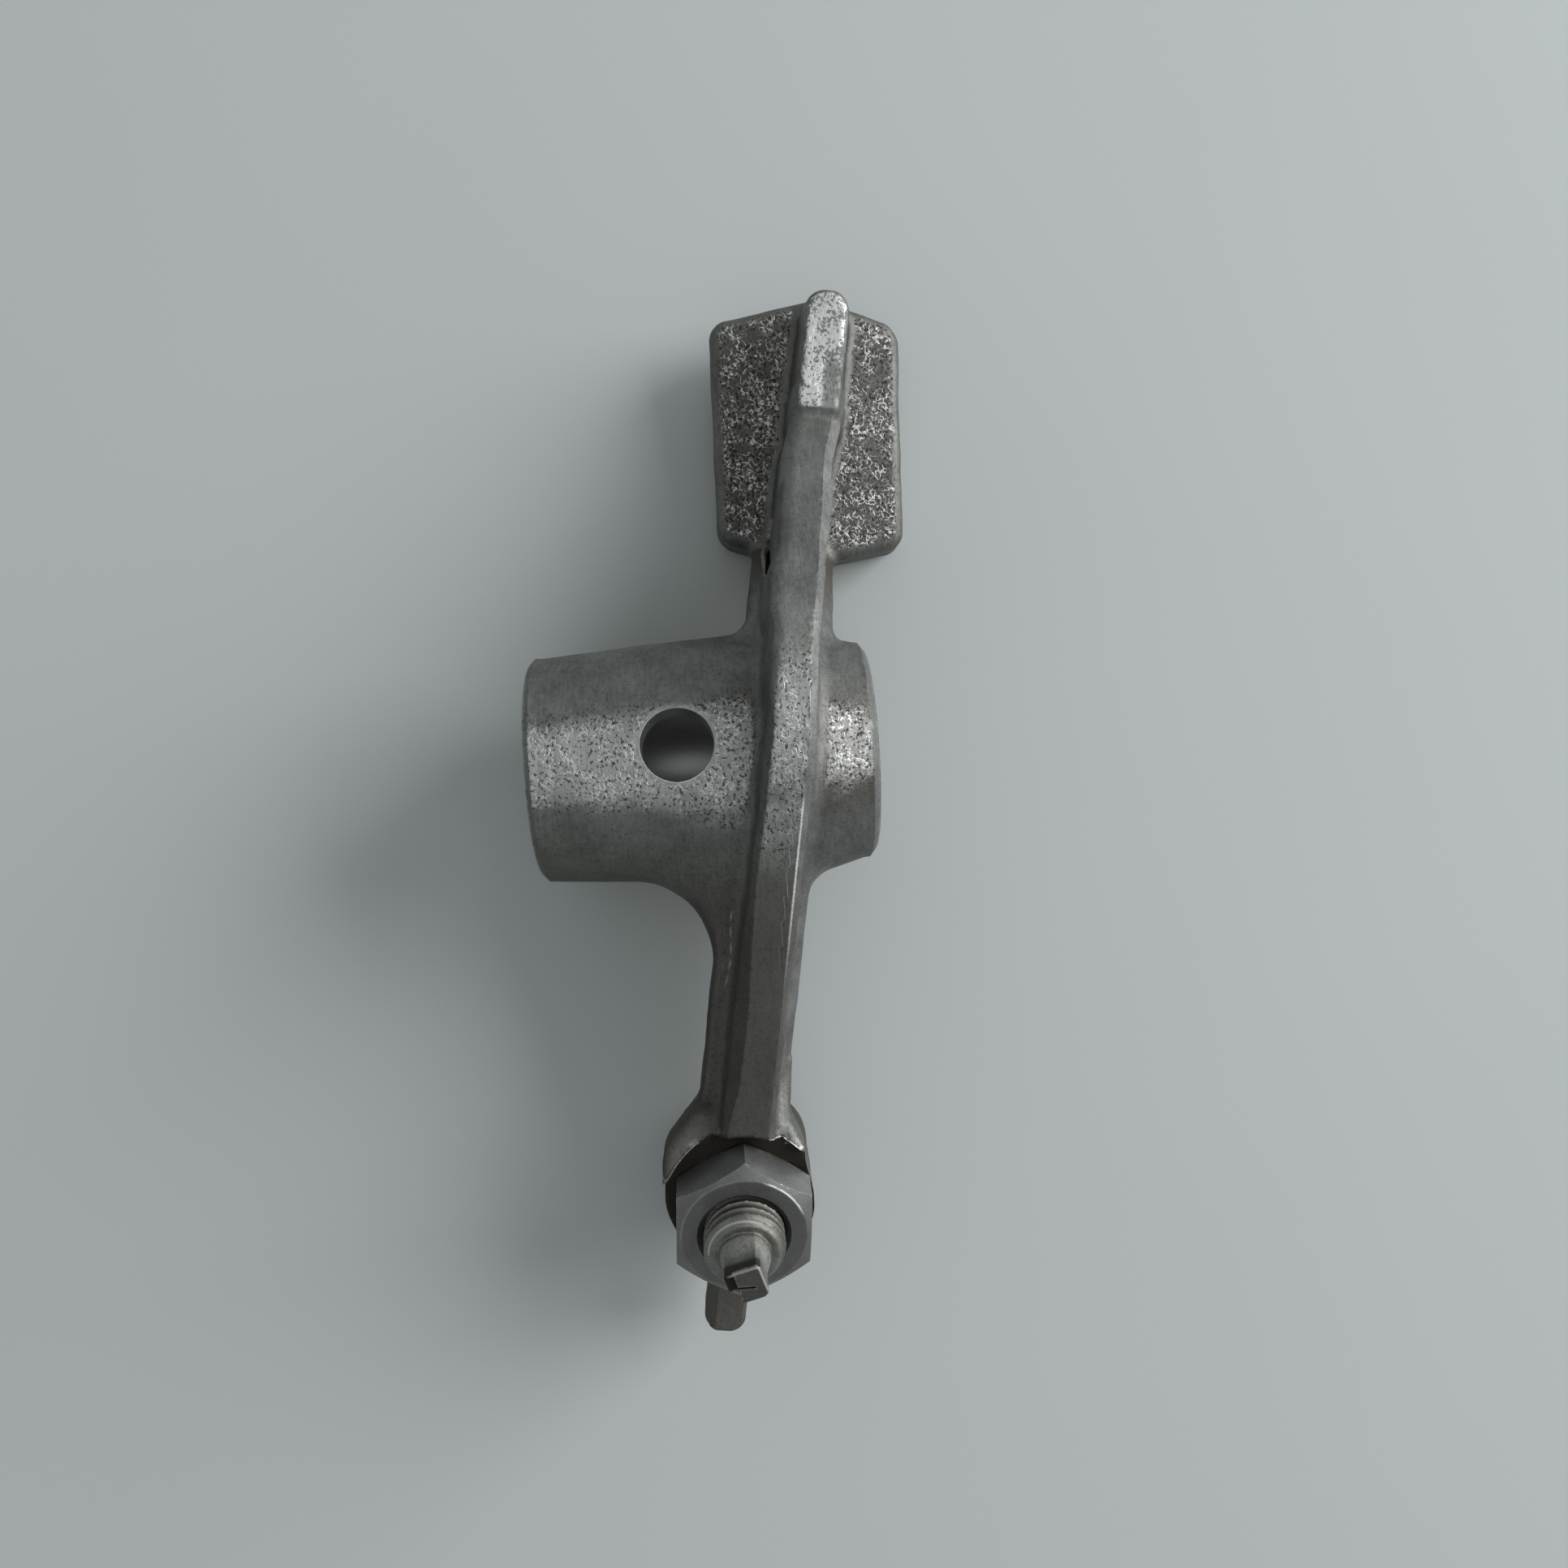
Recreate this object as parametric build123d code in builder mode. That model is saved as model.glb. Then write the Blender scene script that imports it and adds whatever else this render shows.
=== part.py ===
"""Overhead-camshaft rocker arm with slipper pad, tappet adjusting screw and lock nut.

Frame: origin at the centre of the pivot bore, X along the pivot axis, +Y towards the
slipper pad, +Z towards the nut side. Millimetres and degrees.
"""
import os
from math import cos, radians, sin, sqrt, tan

from build123d import *

# Pivot boss: a forged cone either side of the arm, with machined ends
bore_diameter = 12.0
boss_length = 25.2
boss_left_diameter = 16.9
boss_right_diameter = 16.2
boss_root_diameter = 19.4
boss_rim_chamfer = 0.5
bore_chamfer = 0.3

# Oil hole through the upper wall of the boss
oil_hole_diameter = 5.2
oil_hole_x = -1.7
oil_hole_angle = 6.5

# Arm: a T-section beam whose plane leans across the pivot axis
arm_offset = 6.05
arm_lean = 9.3

# Web, the wide foot of the T: its top is the shelf either side of the rib
web_width = 6.7
web_shift = -0.5
web_edge_round = 0.8
web_corner_radius = 6.0
web_shelf_radius = 4.0
shelf_pad_level = -6.4
shelf_boss_level = 4.0
shelf_valve_level = 0.3
underside_pad_level = -9.0
underside_boss_level = -7.4
underside_valve_level = -5.8
web_valve_reach = 26.6

# Blends between the web's flanks and the boss
blend_valve_left = 6.5
blend_valve_right = 1.6
blend_pad_left = 2.2
blend_pad_right = 1.6

# Rib, the stem of the T: two straight flanks that meet in an arched crest
rib_width = 4.0
rib_shift = -0.12
rib_draft = 1.2
rib_bevel = 0.55
rib_apex_reach = 5.0
rib_apex_level = 13.6
rib_crest_radius = 18.0
rib_valve_level = 3.5
rib_run_out_level = 2.9
rib_run_out_radius = 6.0

# Slipper pad
pad_width = 15.35
pad_center_x = 9.95
pad_side_lean = 1.3
pad_lean = 6.1
pad_offset = 7.5
pad_inner_reach = 15.4
pad_outer_reach = 36.45
pad_inner_back_level = -5.9
pad_outer_back_level = -3.4
pad_end_draft = 14.0
pad_back_draft = 6.0
pad_edge_round = 0.9
contact_radius = 30.0
contact_low_reach = 21.8
contact_low_level = -10.3

# Ground land on the tip of the rib
land_start = 26.1
land_end = 35.5
land_width = 3.4
land_level = 1.7
land_drop = 0.4
land_draft = 4.0
land_bevel = 0.3
land_step = 0.6
land_inner_round = 0.5
land_outer_round = 1.53

# Valve end: boss, nut seat and finger, set out on the tilted screw axis
valve_reach = 34.1
valve_side = 0.7
seat_level = 0.25
screw_tilt = 19.0
valve_boss_diameter = 11.0
valve_boss_height = 9.2
valve_boss_chamfer = 0.7
seat_diameter = 13.4
shoulder_level = 3.0
shoulder_rise_run = 2.6
shoulder_top_round = 1.2
shoulder_left_run = 4.0
shoulder_left = 6.1
shoulder_right_run = 2.8
shoulder_right = 4.45
shoulder_depth = 5.6
shoulder_round = 3.0
finger_reach = 45.45
finger_width = 3.25
finger_shift = 0.17
finger_top_depth = 2.7
finger_thickness = 4.2
finger_side_bevel = 1.0
finger_end_round = 1.2
finger_edge_bevel = 0.3

# Adjusting screw and lock nut
screw_diameter = 6.0
thread_clearance = 0.05
thread_above_nut = 2.1
screw_end_chamfer = 0.35
foot_projection = 2.1
foot_height = 1.5
foot_neck_length = 1.4
foot_neck_diameter = 4.6
foot_crown_radius = 5.0
drive_square = 2.65
drive_height = 3.5
drive_turn = 15.5
drive_corner_diameter = 3.4
drive_root_radius = 1.85
drive_notch = 1.6
drive_notch_depth = 0.3
nut_across_flats = 10.0
nut_height = 3.55
nut_face_diameter = 9.3
nut_chamfer_angle = 30.0
nut_countersink = 0.3
nut_turn = 26.0
nut_bottom_rise = 0.25
nut_chamfer_run = 0.2

# The arm's own plane: local x runs along the arm towards the pad, local y is up
arm_direction = Vector(sin(radians(arm_lean)), cos(radians(arm_lean)), 0)
arm_origin = Vector(arm_offset, 0, 0)
arm_plane = Plane(origin=arm_origin, x_dir=arm_direction, z_dir=arm_direction.cross(Vector(0, 0, 1)))
web_plane = arm_plane.offset(web_shift)
rib_plane = arm_plane.offset(rib_shift)
plan_plane = Plane(origin=arm_origin, x_dir=arm_direction, z_dir=(0, 0, 1))
valve_center = plan_plane.to_local_coords(Vector(valve_side, -valve_reach, 0))
valve_station = valve_center.X

# The pad's drafts lean less than the arm does
pad_direction = Vector(sin(radians(pad_lean)), cos(radians(pad_lean)), 0)
pad_plane = Plane(origin=(pad_offset, 0, 0), x_dir=pad_direction, z_dir=pad_direction.cross(Vector(0, 0, 1)))

# The screw's plane: origin at the centre of the nut seat, local z along the screw axis
screw_direction = Vector(0, -sin(radians(screw_tilt)), cos(radians(screw_tilt)))
seat_center = Vector(valve_side, -valve_reach, seat_level)
seat_plane = Plane(origin=seat_center, x_dir=(1, 0, 0), z_dir=screw_direction)
thread_hole_diameter = screw_diameter + 2 * thread_clearance
screw_section_plane = Plane(origin=seat_center, x_dir=(1, 0, 0), z_dir=Vector(1, 0, 0).cross(screw_direction))
oil_hole_direction = Vector(0, sin(radians(oil_hole_angle)), cos(radians(oil_hole_angle)))

os.makedirs("parts", exist_ok=True)

# Slipper pad: drafted blank with rounded back corners, trimmed at the sides, then ground
# on its underside to the contact arc
with BuildPart() as pad_blank:
    blank_floor = contact_low_level - 1
    end_draft_run = pad_width * tan(radians(pad_end_draft))
    back_draft_drop = pad_width * tan(radians(pad_back_draft))
    for side in (-1, 1):
        for reach, end_run, back_drop in ((0, 0, 0), (side * pad_width, end_draft_run, back_draft_drop)):
            with BuildSketch(pad_plane.offset(reach)) as blank_section:
                with BuildLine():
                    Polyline(
                        (pad_inner_reach + end_run, blank_floor),
                        (pad_outer_reach - end_run, blank_floor),
                        (pad_outer_reach - end_run, pad_outer_back_level - back_drop),
                        (pad_inner_reach + end_run, pad_inner_back_level - back_drop),
                        close=True,
                    )
                make_face()
                fillet(blank_section.vertices().group_by(Axis.Y)[1:], pad_edge_round)
        loft(ruled=True)
    pad_middle = (pad_inner_reach + pad_outer_reach) / 2
    pad_trim_plane = Plane.XY.rotated((0, 0, -pad_side_lean)).shift_origin((pad_center_x, pad_middle, 0))
    with BuildSketch(pad_trim_plane):
        Rectangle(pad_width, 2 * pad_outer_reach)
    extrude(amount=2 * pad_width, both=True, mode=Mode.INTERSECT)
    pad_sides = pad_blank.faces().filter_by(Plane(origin=(0, 0, 0), z_dir=pad_trim_plane.x_dir))
    side_rims = pad_sides.edges().filter_by(lambda e: e.center().Z > blank_floor + pad_edge_round)
    fillet(side_rims, pad_edge_round)
    with BuildSketch(Plane.YZ):
        with Locations((contact_low_reach, contact_low_level + contact_radius)):
            Circle(contact_radius)
    extrude(amount=pad_center_x + pad_width, mode=Mode.INTERSECT)

# Side outline of the web, drawn once for the web and for its blends into the boss
with BuildSketch(web_plane) as web_outline:
    web_pad_reach = pad_inner_reach + 2 * web_edge_round
    boss_shoulder = boss_root_diameter / 2 - web_edge_round
    with BuildLine():
        FilletPolyline(
            (web_pad_reach, underside_pad_level),
            (boss_shoulder, underside_boss_level),
            (-boss_shoulder, underside_boss_level),
            (valve_station, underside_valve_level),
            (valve_station, shoulder_level),
            (-web_valve_reach - shoulder_rise_run / 2, shoulder_level),
            (-web_valve_reach + shoulder_rise_run / 2, shelf_valve_level),
            (-boss_shoulder, shelf_boss_level),
            (boss_shoulder, shelf_boss_level),
            (web_pad_reach, shelf_pad_level),
            radius=(
                0,
                web_corner_radius,
                web_corner_radius,
                0,
                0,
                shoulder_top_round,
                web_shelf_radius,
                web_shelf_radius,
                web_shelf_radius,
                0,
            ),
            close=True,
        )
    make_face()

with BuildPart() as web_blank:
    extrude(web_outline.sketch, amount=web_width / 2, both=True)
    fillet(web_blank.faces().filter_by(arm_plane).edges(), web_edge_round)

# Blends: a concave collar round the boss on each flank of the web, cut to the web's outline
with BuildPart() as boss_blends:
    for side, end, blend in (
        (-1, -1, blend_valve_left),
        (1, -1, blend_valve_right),
        (-1, 1, blend_pad_left),
        (1, 1, blend_pad_right),
    ):
        end_radius = (boss_right_diameter if side > 0 else boss_left_diameter) / 2
        boss_taper = (boss_root_diameter / 2 - end_radius) / (boss_length / 2 - side * arm_offset)
        flank_reach = end * (boss_root_diameter + blend) / 2
        flank_offset = side * web_width / 2 + web_shift
        flank_x = arm_offset + flank_reach * tan(radians(arm_lean)) + flank_offset / cos(radians(arm_lean))
        foot_x = flank_x + side * blend
        foot_radius = boss_root_diameter / 2 - boss_taper * abs(foot_x - arm_offset)
        with BuildSketch(Plane.XZ):
            with BuildLine():
                RadiusArc((flank_x, foot_radius + blend), (foot_x, foot_radius), -side * blend)
                Polyline(
                    (foot_x, foot_radius),
                    (foot_x, 0),
                    (arm_offset, 0),
                    (arm_offset, foot_radius + blend),
                    (flank_x, foot_radius + blend),
                )
            make_face()
        revolve(axis=Axis.X, revolution_arc=-end * 180)
    extrude(web_outline.sketch, amount=2 * boss_length, both=True, mode=Mode.INTERSECT)

# Rib: side outline with an arched crest, extruded to a drafted section and bevelled on top
with BuildPart() as rib_blank:
    rib_pad_level = land_level - land_step
    with BuildSketch(rib_plane):
        with BuildLine():
            FilletPolyline(
                (land_start + land_width / 2, underside_pad_level),
                (valve_station, underside_boss_level),
                (valve_station, rib_run_out_level),
                (-web_valve_reach - shoulder_rise_run / 2, rib_valve_level),
                (rib_apex_reach, rib_apex_level),
                (land_start, rib_pad_level),
                (land_start + land_width / 2, rib_pad_level),
                radius=(0, 0, 0, rib_run_out_radius, rib_crest_radius, land_step, 0),
                close=True,
            )
        make_face()
    extrude(amount=rib_width, both=True)
    flank_run = rib_apex_level * tan(radians(rib_draft))
    rib_section_plane = Plane(origin=rib_plane.origin, x_dir=rib_plane.z_dir, z_dir=-arm_direction)
    with BuildSketch(rib_section_plane):
        with BuildLine():
            Polyline(
                (-rib_width / 2 - flank_run, -rib_apex_level),
                (rib_width / 2 + flank_run, -rib_apex_level),
                (rib_width / 2 - flank_run, rib_apex_level),
                (-rib_width / 2 + flank_run, rib_apex_level),
                close=True,
            )
        make_face()
    extrude(amount=2 * valve_reach, both=True, mode=Mode.INTERSECT)
    rib_faces = rib_blank.faces().sort_by(Axis(rib_plane.origin, rib_plane.z_dir))
    flank_edges = rib_faces[0].edges() + rib_faces[-1].edges()
    chamfer(flank_edges.filter_by(lambda e: e.center().Z > shelf_valve_level), rib_bevel)

# Ground land on the rib's tip: round outer end, nearly square inner end, drafted walls
with BuildPart() as land_blank:
    land_length = land_end - land_start
    land_direction = land_length * arm_direction - Vector(0, 0, land_drop)
    land_middle = arm_origin + (land_start + land_end) / 2 * arm_direction + Vector(0, 0, land_level - land_drop / 2)
    land_plane = Plane(origin=land_middle, x_dir=land_direction, z_dir=arm_plane.z_dir.cross(land_direction))
    with BuildSketch(land_plane) as land_plan:
        Rectangle(land_length, land_width)
        fillet(land_plan.vertices().group_by(Axis.X)[-1], land_outer_round)
        fillet(land_plan.vertices().group_by(Axis.X)[0], land_inner_round)
    extrude(amount=pad_inner_back_level - land_level, taper=-land_draft)
    chamfer(land_blank.faces().sort_by(Axis.Z)[-1].edges(), land_bevel)

# Valve end: the shoulder that flares out of the web, and the boss round the screw
with BuildPart() as valve_blank:
    shoulder_floor = shoulder_level - shoulder_depth
    shoulder_end = valve_station + (seat_level - shoulder_floor) * tan(radians(screw_tilt))
    with BuildSketch(plan_plane.offset(shoulder_floor)) as shoulder_plan:
        with BuildLine():
            FilletPolyline(
                (-web_valve_reach + shoulder_round, web_width / 2 - web_shift),
                (-web_valve_reach, web_width / 2 - web_shift),
                (-web_valve_reach - shoulder_left_run, shoulder_left),
                (shoulder_end, valve_center.Y + valve_boss_diameter / 2),
                (shoulder_end, valve_center.Y - valve_boss_diameter / 2),
                (-web_valve_reach - shoulder_right_run, -shoulder_right),
                (-web_valve_reach, -web_width / 2 - web_shift),
                (-web_valve_reach + shoulder_round, -web_width / 2 - web_shift),
                radius=(0, shoulder_round, shoulder_round, 0, 0, shoulder_round, shoulder_round, 0),
                close=True,
            )
        make_face()
    extrude(amount=shoulder_depth)
    extrude(web_outline.sketch, amount=boss_length, both=True, mode=Mode.INTERSECT)
    with BuildSketch(seat_plane):
        Circle(valve_boss_diameter / 2)
    extrude(amount=-valve_boss_height)
    chamfer(valve_blank.faces().sort_by(Axis.Z)[0].edges(), valve_boss_chamfer)

# Finger beyond the valve boss: round end, wide bevel along its left edge
with BuildPart() as finger_blank:
    finger_top_level = seat_level - finger_top_depth
    finger_left = finger_shift + finger_width / 2
    with BuildSketch(plan_plane.offset(finger_top_level)):
        with Locations(((valve_station - finger_reach) / 2, finger_shift)):
            RectangleRounded(finger_reach + valve_station, finger_width, finger_end_round)
    extrude(amount=-finger_thickness)
    chamfer(finger_blank.faces().sort_by(Axis.Z)[-1].edges(), finger_edge_bevel)
    with BuildSketch(rib_section_plane):
        with BuildLine():
            Polyline(
                (-finger_left + finger_side_bevel, finger_top_level),
                (-finger_left - finger_side_bevel, finger_top_level),
                (-finger_left - finger_side_bevel, finger_top_level - 2 * finger_side_bevel),
                close=True,
            )
        make_face()
    extrude(amount=finger_reach, mode=Mode.SUBTRACT)

# Rocker arm: one forging, then machined
with BuildPart() as rocker_arm:
    with BuildSketch(Plane.XZ):
        with BuildLine():
            Polyline(
                (-boss_length / 2, 0),
                (-boss_length / 2, boss_left_diameter / 2),
                (arm_offset, boss_root_diameter / 2),
                (boss_length / 2, boss_right_diameter / 2),
                (boss_length / 2, 0),
                close=True,
            )
        make_face()
    revolve(axis=Axis.X)
    boss_ends = rocker_arm.faces().filter_by(Axis.X)
    chamfer(boss_ends.edges(), boss_rim_chamfer)
    for blank in (boss_blends, web_blank, rib_blank, land_blank, pad_blank, valve_blank, finger_blank):
        add(blank.part)
    # nut seat, spot-faced square to the screw
    with BuildSketch(seat_plane):
        Circle(seat_diameter / 2)
    extrude(amount=valve_boss_height, mode=Mode.SUBTRACT)
    # tapped hole, at the thread's major diameter
    with BuildSketch(seat_plane):
        Circle(thread_hole_diameter / 2)
    extrude(amount=2 * valve_boss_height, both=True, mode=Mode.SUBTRACT)
    # pivot bore with chamfered mouths, cut as one turned profile
    with BuildSketch(Plane.XZ):
        with BuildLine():
            Polyline(
                (-boss_length / 2, 0),
                (-boss_length / 2, bore_diameter / 2 + bore_chamfer),
                (-boss_length / 2 + bore_chamfer, bore_diameter / 2),
                (boss_length / 2 - bore_chamfer, bore_diameter / 2),
                (boss_length / 2, bore_diameter / 2 + bore_chamfer),
                (boss_length / 2, 0),
                close=True,
            )
        make_face()
    revolve(axis=Axis.X, mode=Mode.SUBTRACT)
    # oil hole through the upper wall
    with BuildSketch(Plane(origin=(oil_hole_x, 0, 0), x_dir=(1, 0, 0), z_dir=oil_hole_direction)):
        Circle(oil_hole_diameter / 2)
    extrude(amount=boss_root_diameter, mode=Mode.SUBTRACT)

rocker_arm.part.label = "rocker_arm"
export_step(rocker_arm.part, "parts/rocker_arm.step")

# Adjusting screw: crowned foot, neck, thread blank, and square drive on a domed root
with BuildPart() as adjusting_screw:
    foot_end = -valve_boss_height - foot_projection
    thread_top = nut_height + thread_above_nut
    screw_radius = screw_diameter / 2
    crown_rise = foot_crown_radius - sqrt(foot_crown_radius**2 - screw_radius**2)
    neck_start = foot_end + foot_height
    neck_end = neck_start + foot_neck_length
    neck_depth = (screw_diameter - foot_neck_diameter) / 2
    with BuildSketch(screw_section_plane):
        with BuildLine():
            RadiusArc((0, foot_end), (screw_radius, foot_end + crown_rise), -foot_crown_radius)
            Polyline(
                (screw_radius, foot_end + crown_rise),
                (screw_radius, neck_start),
                (foot_neck_diameter / 2, neck_start),
                (foot_neck_diameter / 2, neck_end),
                (screw_radius, neck_end + neck_depth),
                (screw_radius, thread_top - screw_end_chamfer),
                (screw_radius - screw_end_chamfer, thread_top),
                (drive_root_radius, thread_top),
            )
            RadiusArc((drive_root_radius, thread_top), (0, thread_top + drive_root_radius), -drive_root_radius)
            Line((0, thread_top + drive_root_radius), (0, foot_end))
        make_face()
    revolve(axis=Axis(seat_center, screw_direction))
    with BuildSketch(seat_plane.offset(thread_top)):
        Circle(drive_corner_diameter / 2)
        Rectangle(drive_square, drive_square, rotation=drive_turn, mode=Mode.INTERSECT)
    extrude(amount=drive_height)
    # cutter mark across one corner of the drive's end
    with BuildSketch(seat_plane.offset(thread_top + drive_height)):
        with Locations(Location((0, 0), drive_turn)):
            with Locations((drive_square / 2 - drive_notch / 2, -drive_square / 2 + drive_notch / 2)):
                Rectangle(drive_notch, drive_notch)
    extrude(amount=-drive_notch_depth, mode=Mode.SUBTRACT)

adjusting_screw.part.label = "adjusting_screw"
export_step(adjusting_screw.part, "parts/adjusting_screw.step")

# Lock nut: hexagon chamfered on both faces, countersunk at the thread
with BuildPart() as lock_nut:
    with BuildSketch(seat_plane):
        RegularPolygon(nut_across_flats / 2, 6, major_radius=False, rotation=nut_turn)
    extrude(amount=nut_height)
    corner_radius = nut_across_flats / sqrt(3) + nut_chamfer_run
    chamfer_drop = (corner_radius - nut_face_diameter / 2) * tan(radians(nut_chamfer_angle))
    with BuildSketch(screw_section_plane):
        with BuildLine():
            Polyline(
                (thread_hole_diameter / 2, nut_countersink),
                (thread_hole_diameter / 2 + nut_countersink, 0),
                (nut_across_flats / 2, 0),
                (corner_radius, nut_bottom_rise),
                (corner_radius, nut_height - chamfer_drop),
                (nut_face_diameter / 2, nut_height),
                (thread_hole_diameter / 2 + nut_countersink, nut_height),
                (thread_hole_diameter / 2, nut_height - nut_countersink),
                close=True,
            )
        make_face()
    revolve(axis=Axis(seat_center, screw_direction), mode=Mode.INTERSECT)

lock_nut.part.label = "lock_nut"
export_step(lock_nut.part, "parts/lock_nut.step")
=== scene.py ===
"""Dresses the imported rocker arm: a forged arm, a threaded adjusting screw and a lock nut.

Every size is in millimetres in the arm's own frame: origin at the centre of the pivot bore,
X along the bore, +Y towards the slipper pad, +Z towards the nut. Blender works in metres.
"""

import logging
import math
from dataclasses import dataclass
from enum import Enum
from functools import reduce
from typing import Any, Callable, ClassVar, Sequence, Union

import bpy
import numpy as np
from mathutils import Matrix, Vector


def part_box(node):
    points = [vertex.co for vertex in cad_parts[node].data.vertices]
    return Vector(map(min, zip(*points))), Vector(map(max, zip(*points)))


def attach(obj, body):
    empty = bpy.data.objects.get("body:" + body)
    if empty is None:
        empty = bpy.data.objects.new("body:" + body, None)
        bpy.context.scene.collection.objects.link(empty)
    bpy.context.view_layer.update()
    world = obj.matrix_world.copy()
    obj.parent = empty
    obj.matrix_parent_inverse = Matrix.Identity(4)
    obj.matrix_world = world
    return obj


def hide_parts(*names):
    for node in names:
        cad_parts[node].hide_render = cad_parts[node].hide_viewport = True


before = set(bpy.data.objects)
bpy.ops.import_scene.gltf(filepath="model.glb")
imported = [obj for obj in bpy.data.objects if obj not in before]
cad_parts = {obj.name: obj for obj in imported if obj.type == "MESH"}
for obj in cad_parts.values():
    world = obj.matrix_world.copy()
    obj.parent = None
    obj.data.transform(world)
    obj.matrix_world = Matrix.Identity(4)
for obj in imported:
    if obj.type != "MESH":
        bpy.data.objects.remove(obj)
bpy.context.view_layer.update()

Array = np.ndarray
Field = Callable[[Array], Array]
Value = Union["Wire", float]
Socket = Union[int, str]
Corners = Sequence[tuple[float, float, float]]
Table = Sequence[tuple[float, float]]
Colour = tuple[float, float, float, float]

MILLIMETRE = 0.001
TINY = 1e-9
FILLET_STEPS = 12
PROFILE_STEPS = 1200
# Added to a bright line's offset, so that a point without one, at 0, lies far from any line
LINE_REACH = 2.0
LINE_NEAR = 0.6
LINE_DROP = 0.1
LINE_WIDTH = (0.03, 0.11)
log = logging.getLogger("rocker_arm")


class Side(Enum):
    """The two flanks of the arm, as signs across it."""

    LEFT = -1
    RIGHT = 1


# Distances: negative inside, in millimetres


def round_union(a: Array, b: Array, radius: Union[float, Array]) -> Array:
    """Joins two bodies with a concave fillet.

    Args:
        a: Distance to the first body.
        b: Distance to the second body.
        radius: Fillet radius, one number or one for each point.

    Returns:
        Distance to the joined body.
    """
    corner = np.hypot(np.maximum(radius - a, 0), np.maximum(radius - b, 0))
    return np.maximum(radius, np.minimum(a, b)) - corner


def round_cut(a: Array, b: Array, radius: float) -> Array:
    """Keeps what two bodies share, with a rounded edge where they cross.

    Args:
        a: Distance to the first body.
        b: Distance to the second body.
        radius: Radius of the rounded edge.

    Returns:
        Distance to the shared body.
    """
    corner = np.hypot(np.maximum(a + radius, 0), np.maximum(b + radius, 0))
    return np.minimum(-radius, np.maximum(a, b)) + corner


def shared(*bodies: Array) -> Array:
    """Keeps what all the bodies share."""
    return reduce(np.maximum, bodies)


def turned(a: Array, b: Array, degrees: float) -> tuple[Array, Array]:
    """Reads places in a plane along turned axes.

    Args:
        a: Place along the first axis.
        b: Place along the second axis.
        degrees: Turn of the axes, from the first towards the second.

    Returns:
        Place along each turned axis.
    """
    cosine, sine = math.cos(math.radians(degrees)), math.sin(math.radians(degrees))
    return a * cosine + b * sine, b * cosine - a * sine


def bevel_cut(a: Array, b: Array, leg: Union[float, Array]) -> Array:
    """Keeps what two bodies share, with a bevelled edge where they cross.

    Args:
        a: Distance to the first body.
        b: Distance to the second body.
        leg: Leg of the bevel, one number or one for each point.

    Returns:
        Distance to the shared body.
    """
    return np.maximum(np.maximum(a, b), (a + b + leg) * math.sqrt(0.5))


def ramp(value: Array, start: float, end: float) -> Array:
    """Rises smoothly from 0 to 1.

    Args:
        value: Where each point is.
        start: Value at which the result is 0.
        end: Value at which the result is 1.

    Returns:
        A smooth step between the two.
    """
    share = np.clip((value - start) / (end - start), 0, 1)
    return share * share * (3 - 2 * share)


def band(value: Array, start: float, full: float, fade: float, end: float) -> Array:
    """Rises smoothly from 0 to 1 and falls again.

    Args:
        value: Where each point is.
        start: Value at which it starts to rise.
        full: Value at which it reaches 1.
        fade: Value at which it starts to fall.
        end: Value at which it is back at 0.

    Returns:
        A smooth band between start and end.
    """
    return ramp(value, start, full) * ramp(-value, -end, -fade)


def filleted(corners: Corners) -> Array:
    """Rounds the corners of an open profile.

    Args:
        corners: Along, level and fillet radius of each corner.

    Returns:
        Points of the rounded profile, one row each.
    """
    points = [np.array(corners[0][:2])]
    for before, corner, after in zip(corners, corners[1:], corners[2:]):
        here = np.array(corner[:2])
        back = np.array(before[:2]) - here
        ahead = np.array(after[:2]) - here
        back /= np.linalg.norm(back)
        ahead /= np.linalg.norm(ahead)
        bend = math.acos(float(np.clip(back @ ahead, -1, 1)))
        radius = corner[2]
        run = radius / math.tan(bend / 2)
        bisector = (back + ahead) / np.linalg.norm(back + ahead)
        centre = here + bisector * radius / math.sin(bend / 2)
        first, last = here + back * run - centre, here + ahead * run - centre
        for share in np.linspace(0, 1, FILLET_STEPS):
            spoke = first * (1 - share) + last * share
            length = np.linalg.norm(spoke)
            points.append(centre + spoke / max(length, TINY) * radius)
    points.append(np.array(corners[-1][:2]))
    return np.array(points)


def above_profile(along: Array, level: Array, corners: Corners) -> Array:
    """Measures how far points lie above a profile.

    Args:
        along: Where each point is along the profile.
        level: Level of each point.
        corners: Along, level and fillet radius of each corner of the profile.

    Returns:
        Distance square to the profile, positive above it.
    """
    profile = filleted(corners)
    steps = np.linspace(profile[0, 0], profile[-1, 0], PROFILE_STEPS)
    heights = np.interp(steps, profile[:, 0], profile[:, 1])
    slopes = np.gradient(heights, steps)
    slope = np.interp(along, steps, slopes)
    return (level - np.interp(along, steps, heights)) / np.sqrt(1 + slope * slope)


def line_distance(places: Array, path: Corners) -> Array:
    """Measures to a line with corners.

    Args:
        places: Points, one row each.
        path: The line's corners.

    Returns:
        Distance to the nearest point of the line.
    """
    nearest = np.full(len(places), np.inf)
    for first, last in zip(np.array(path), np.array(path[1:])):
        run = last - first
        share = np.clip((places - first) @ run / (run @ run), 0, 1)
        gap = np.linalg.norm(places - first - share[:, None] * run, axis=1)
        nearest = np.minimum(nearest, gap)
    return nearest


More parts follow.
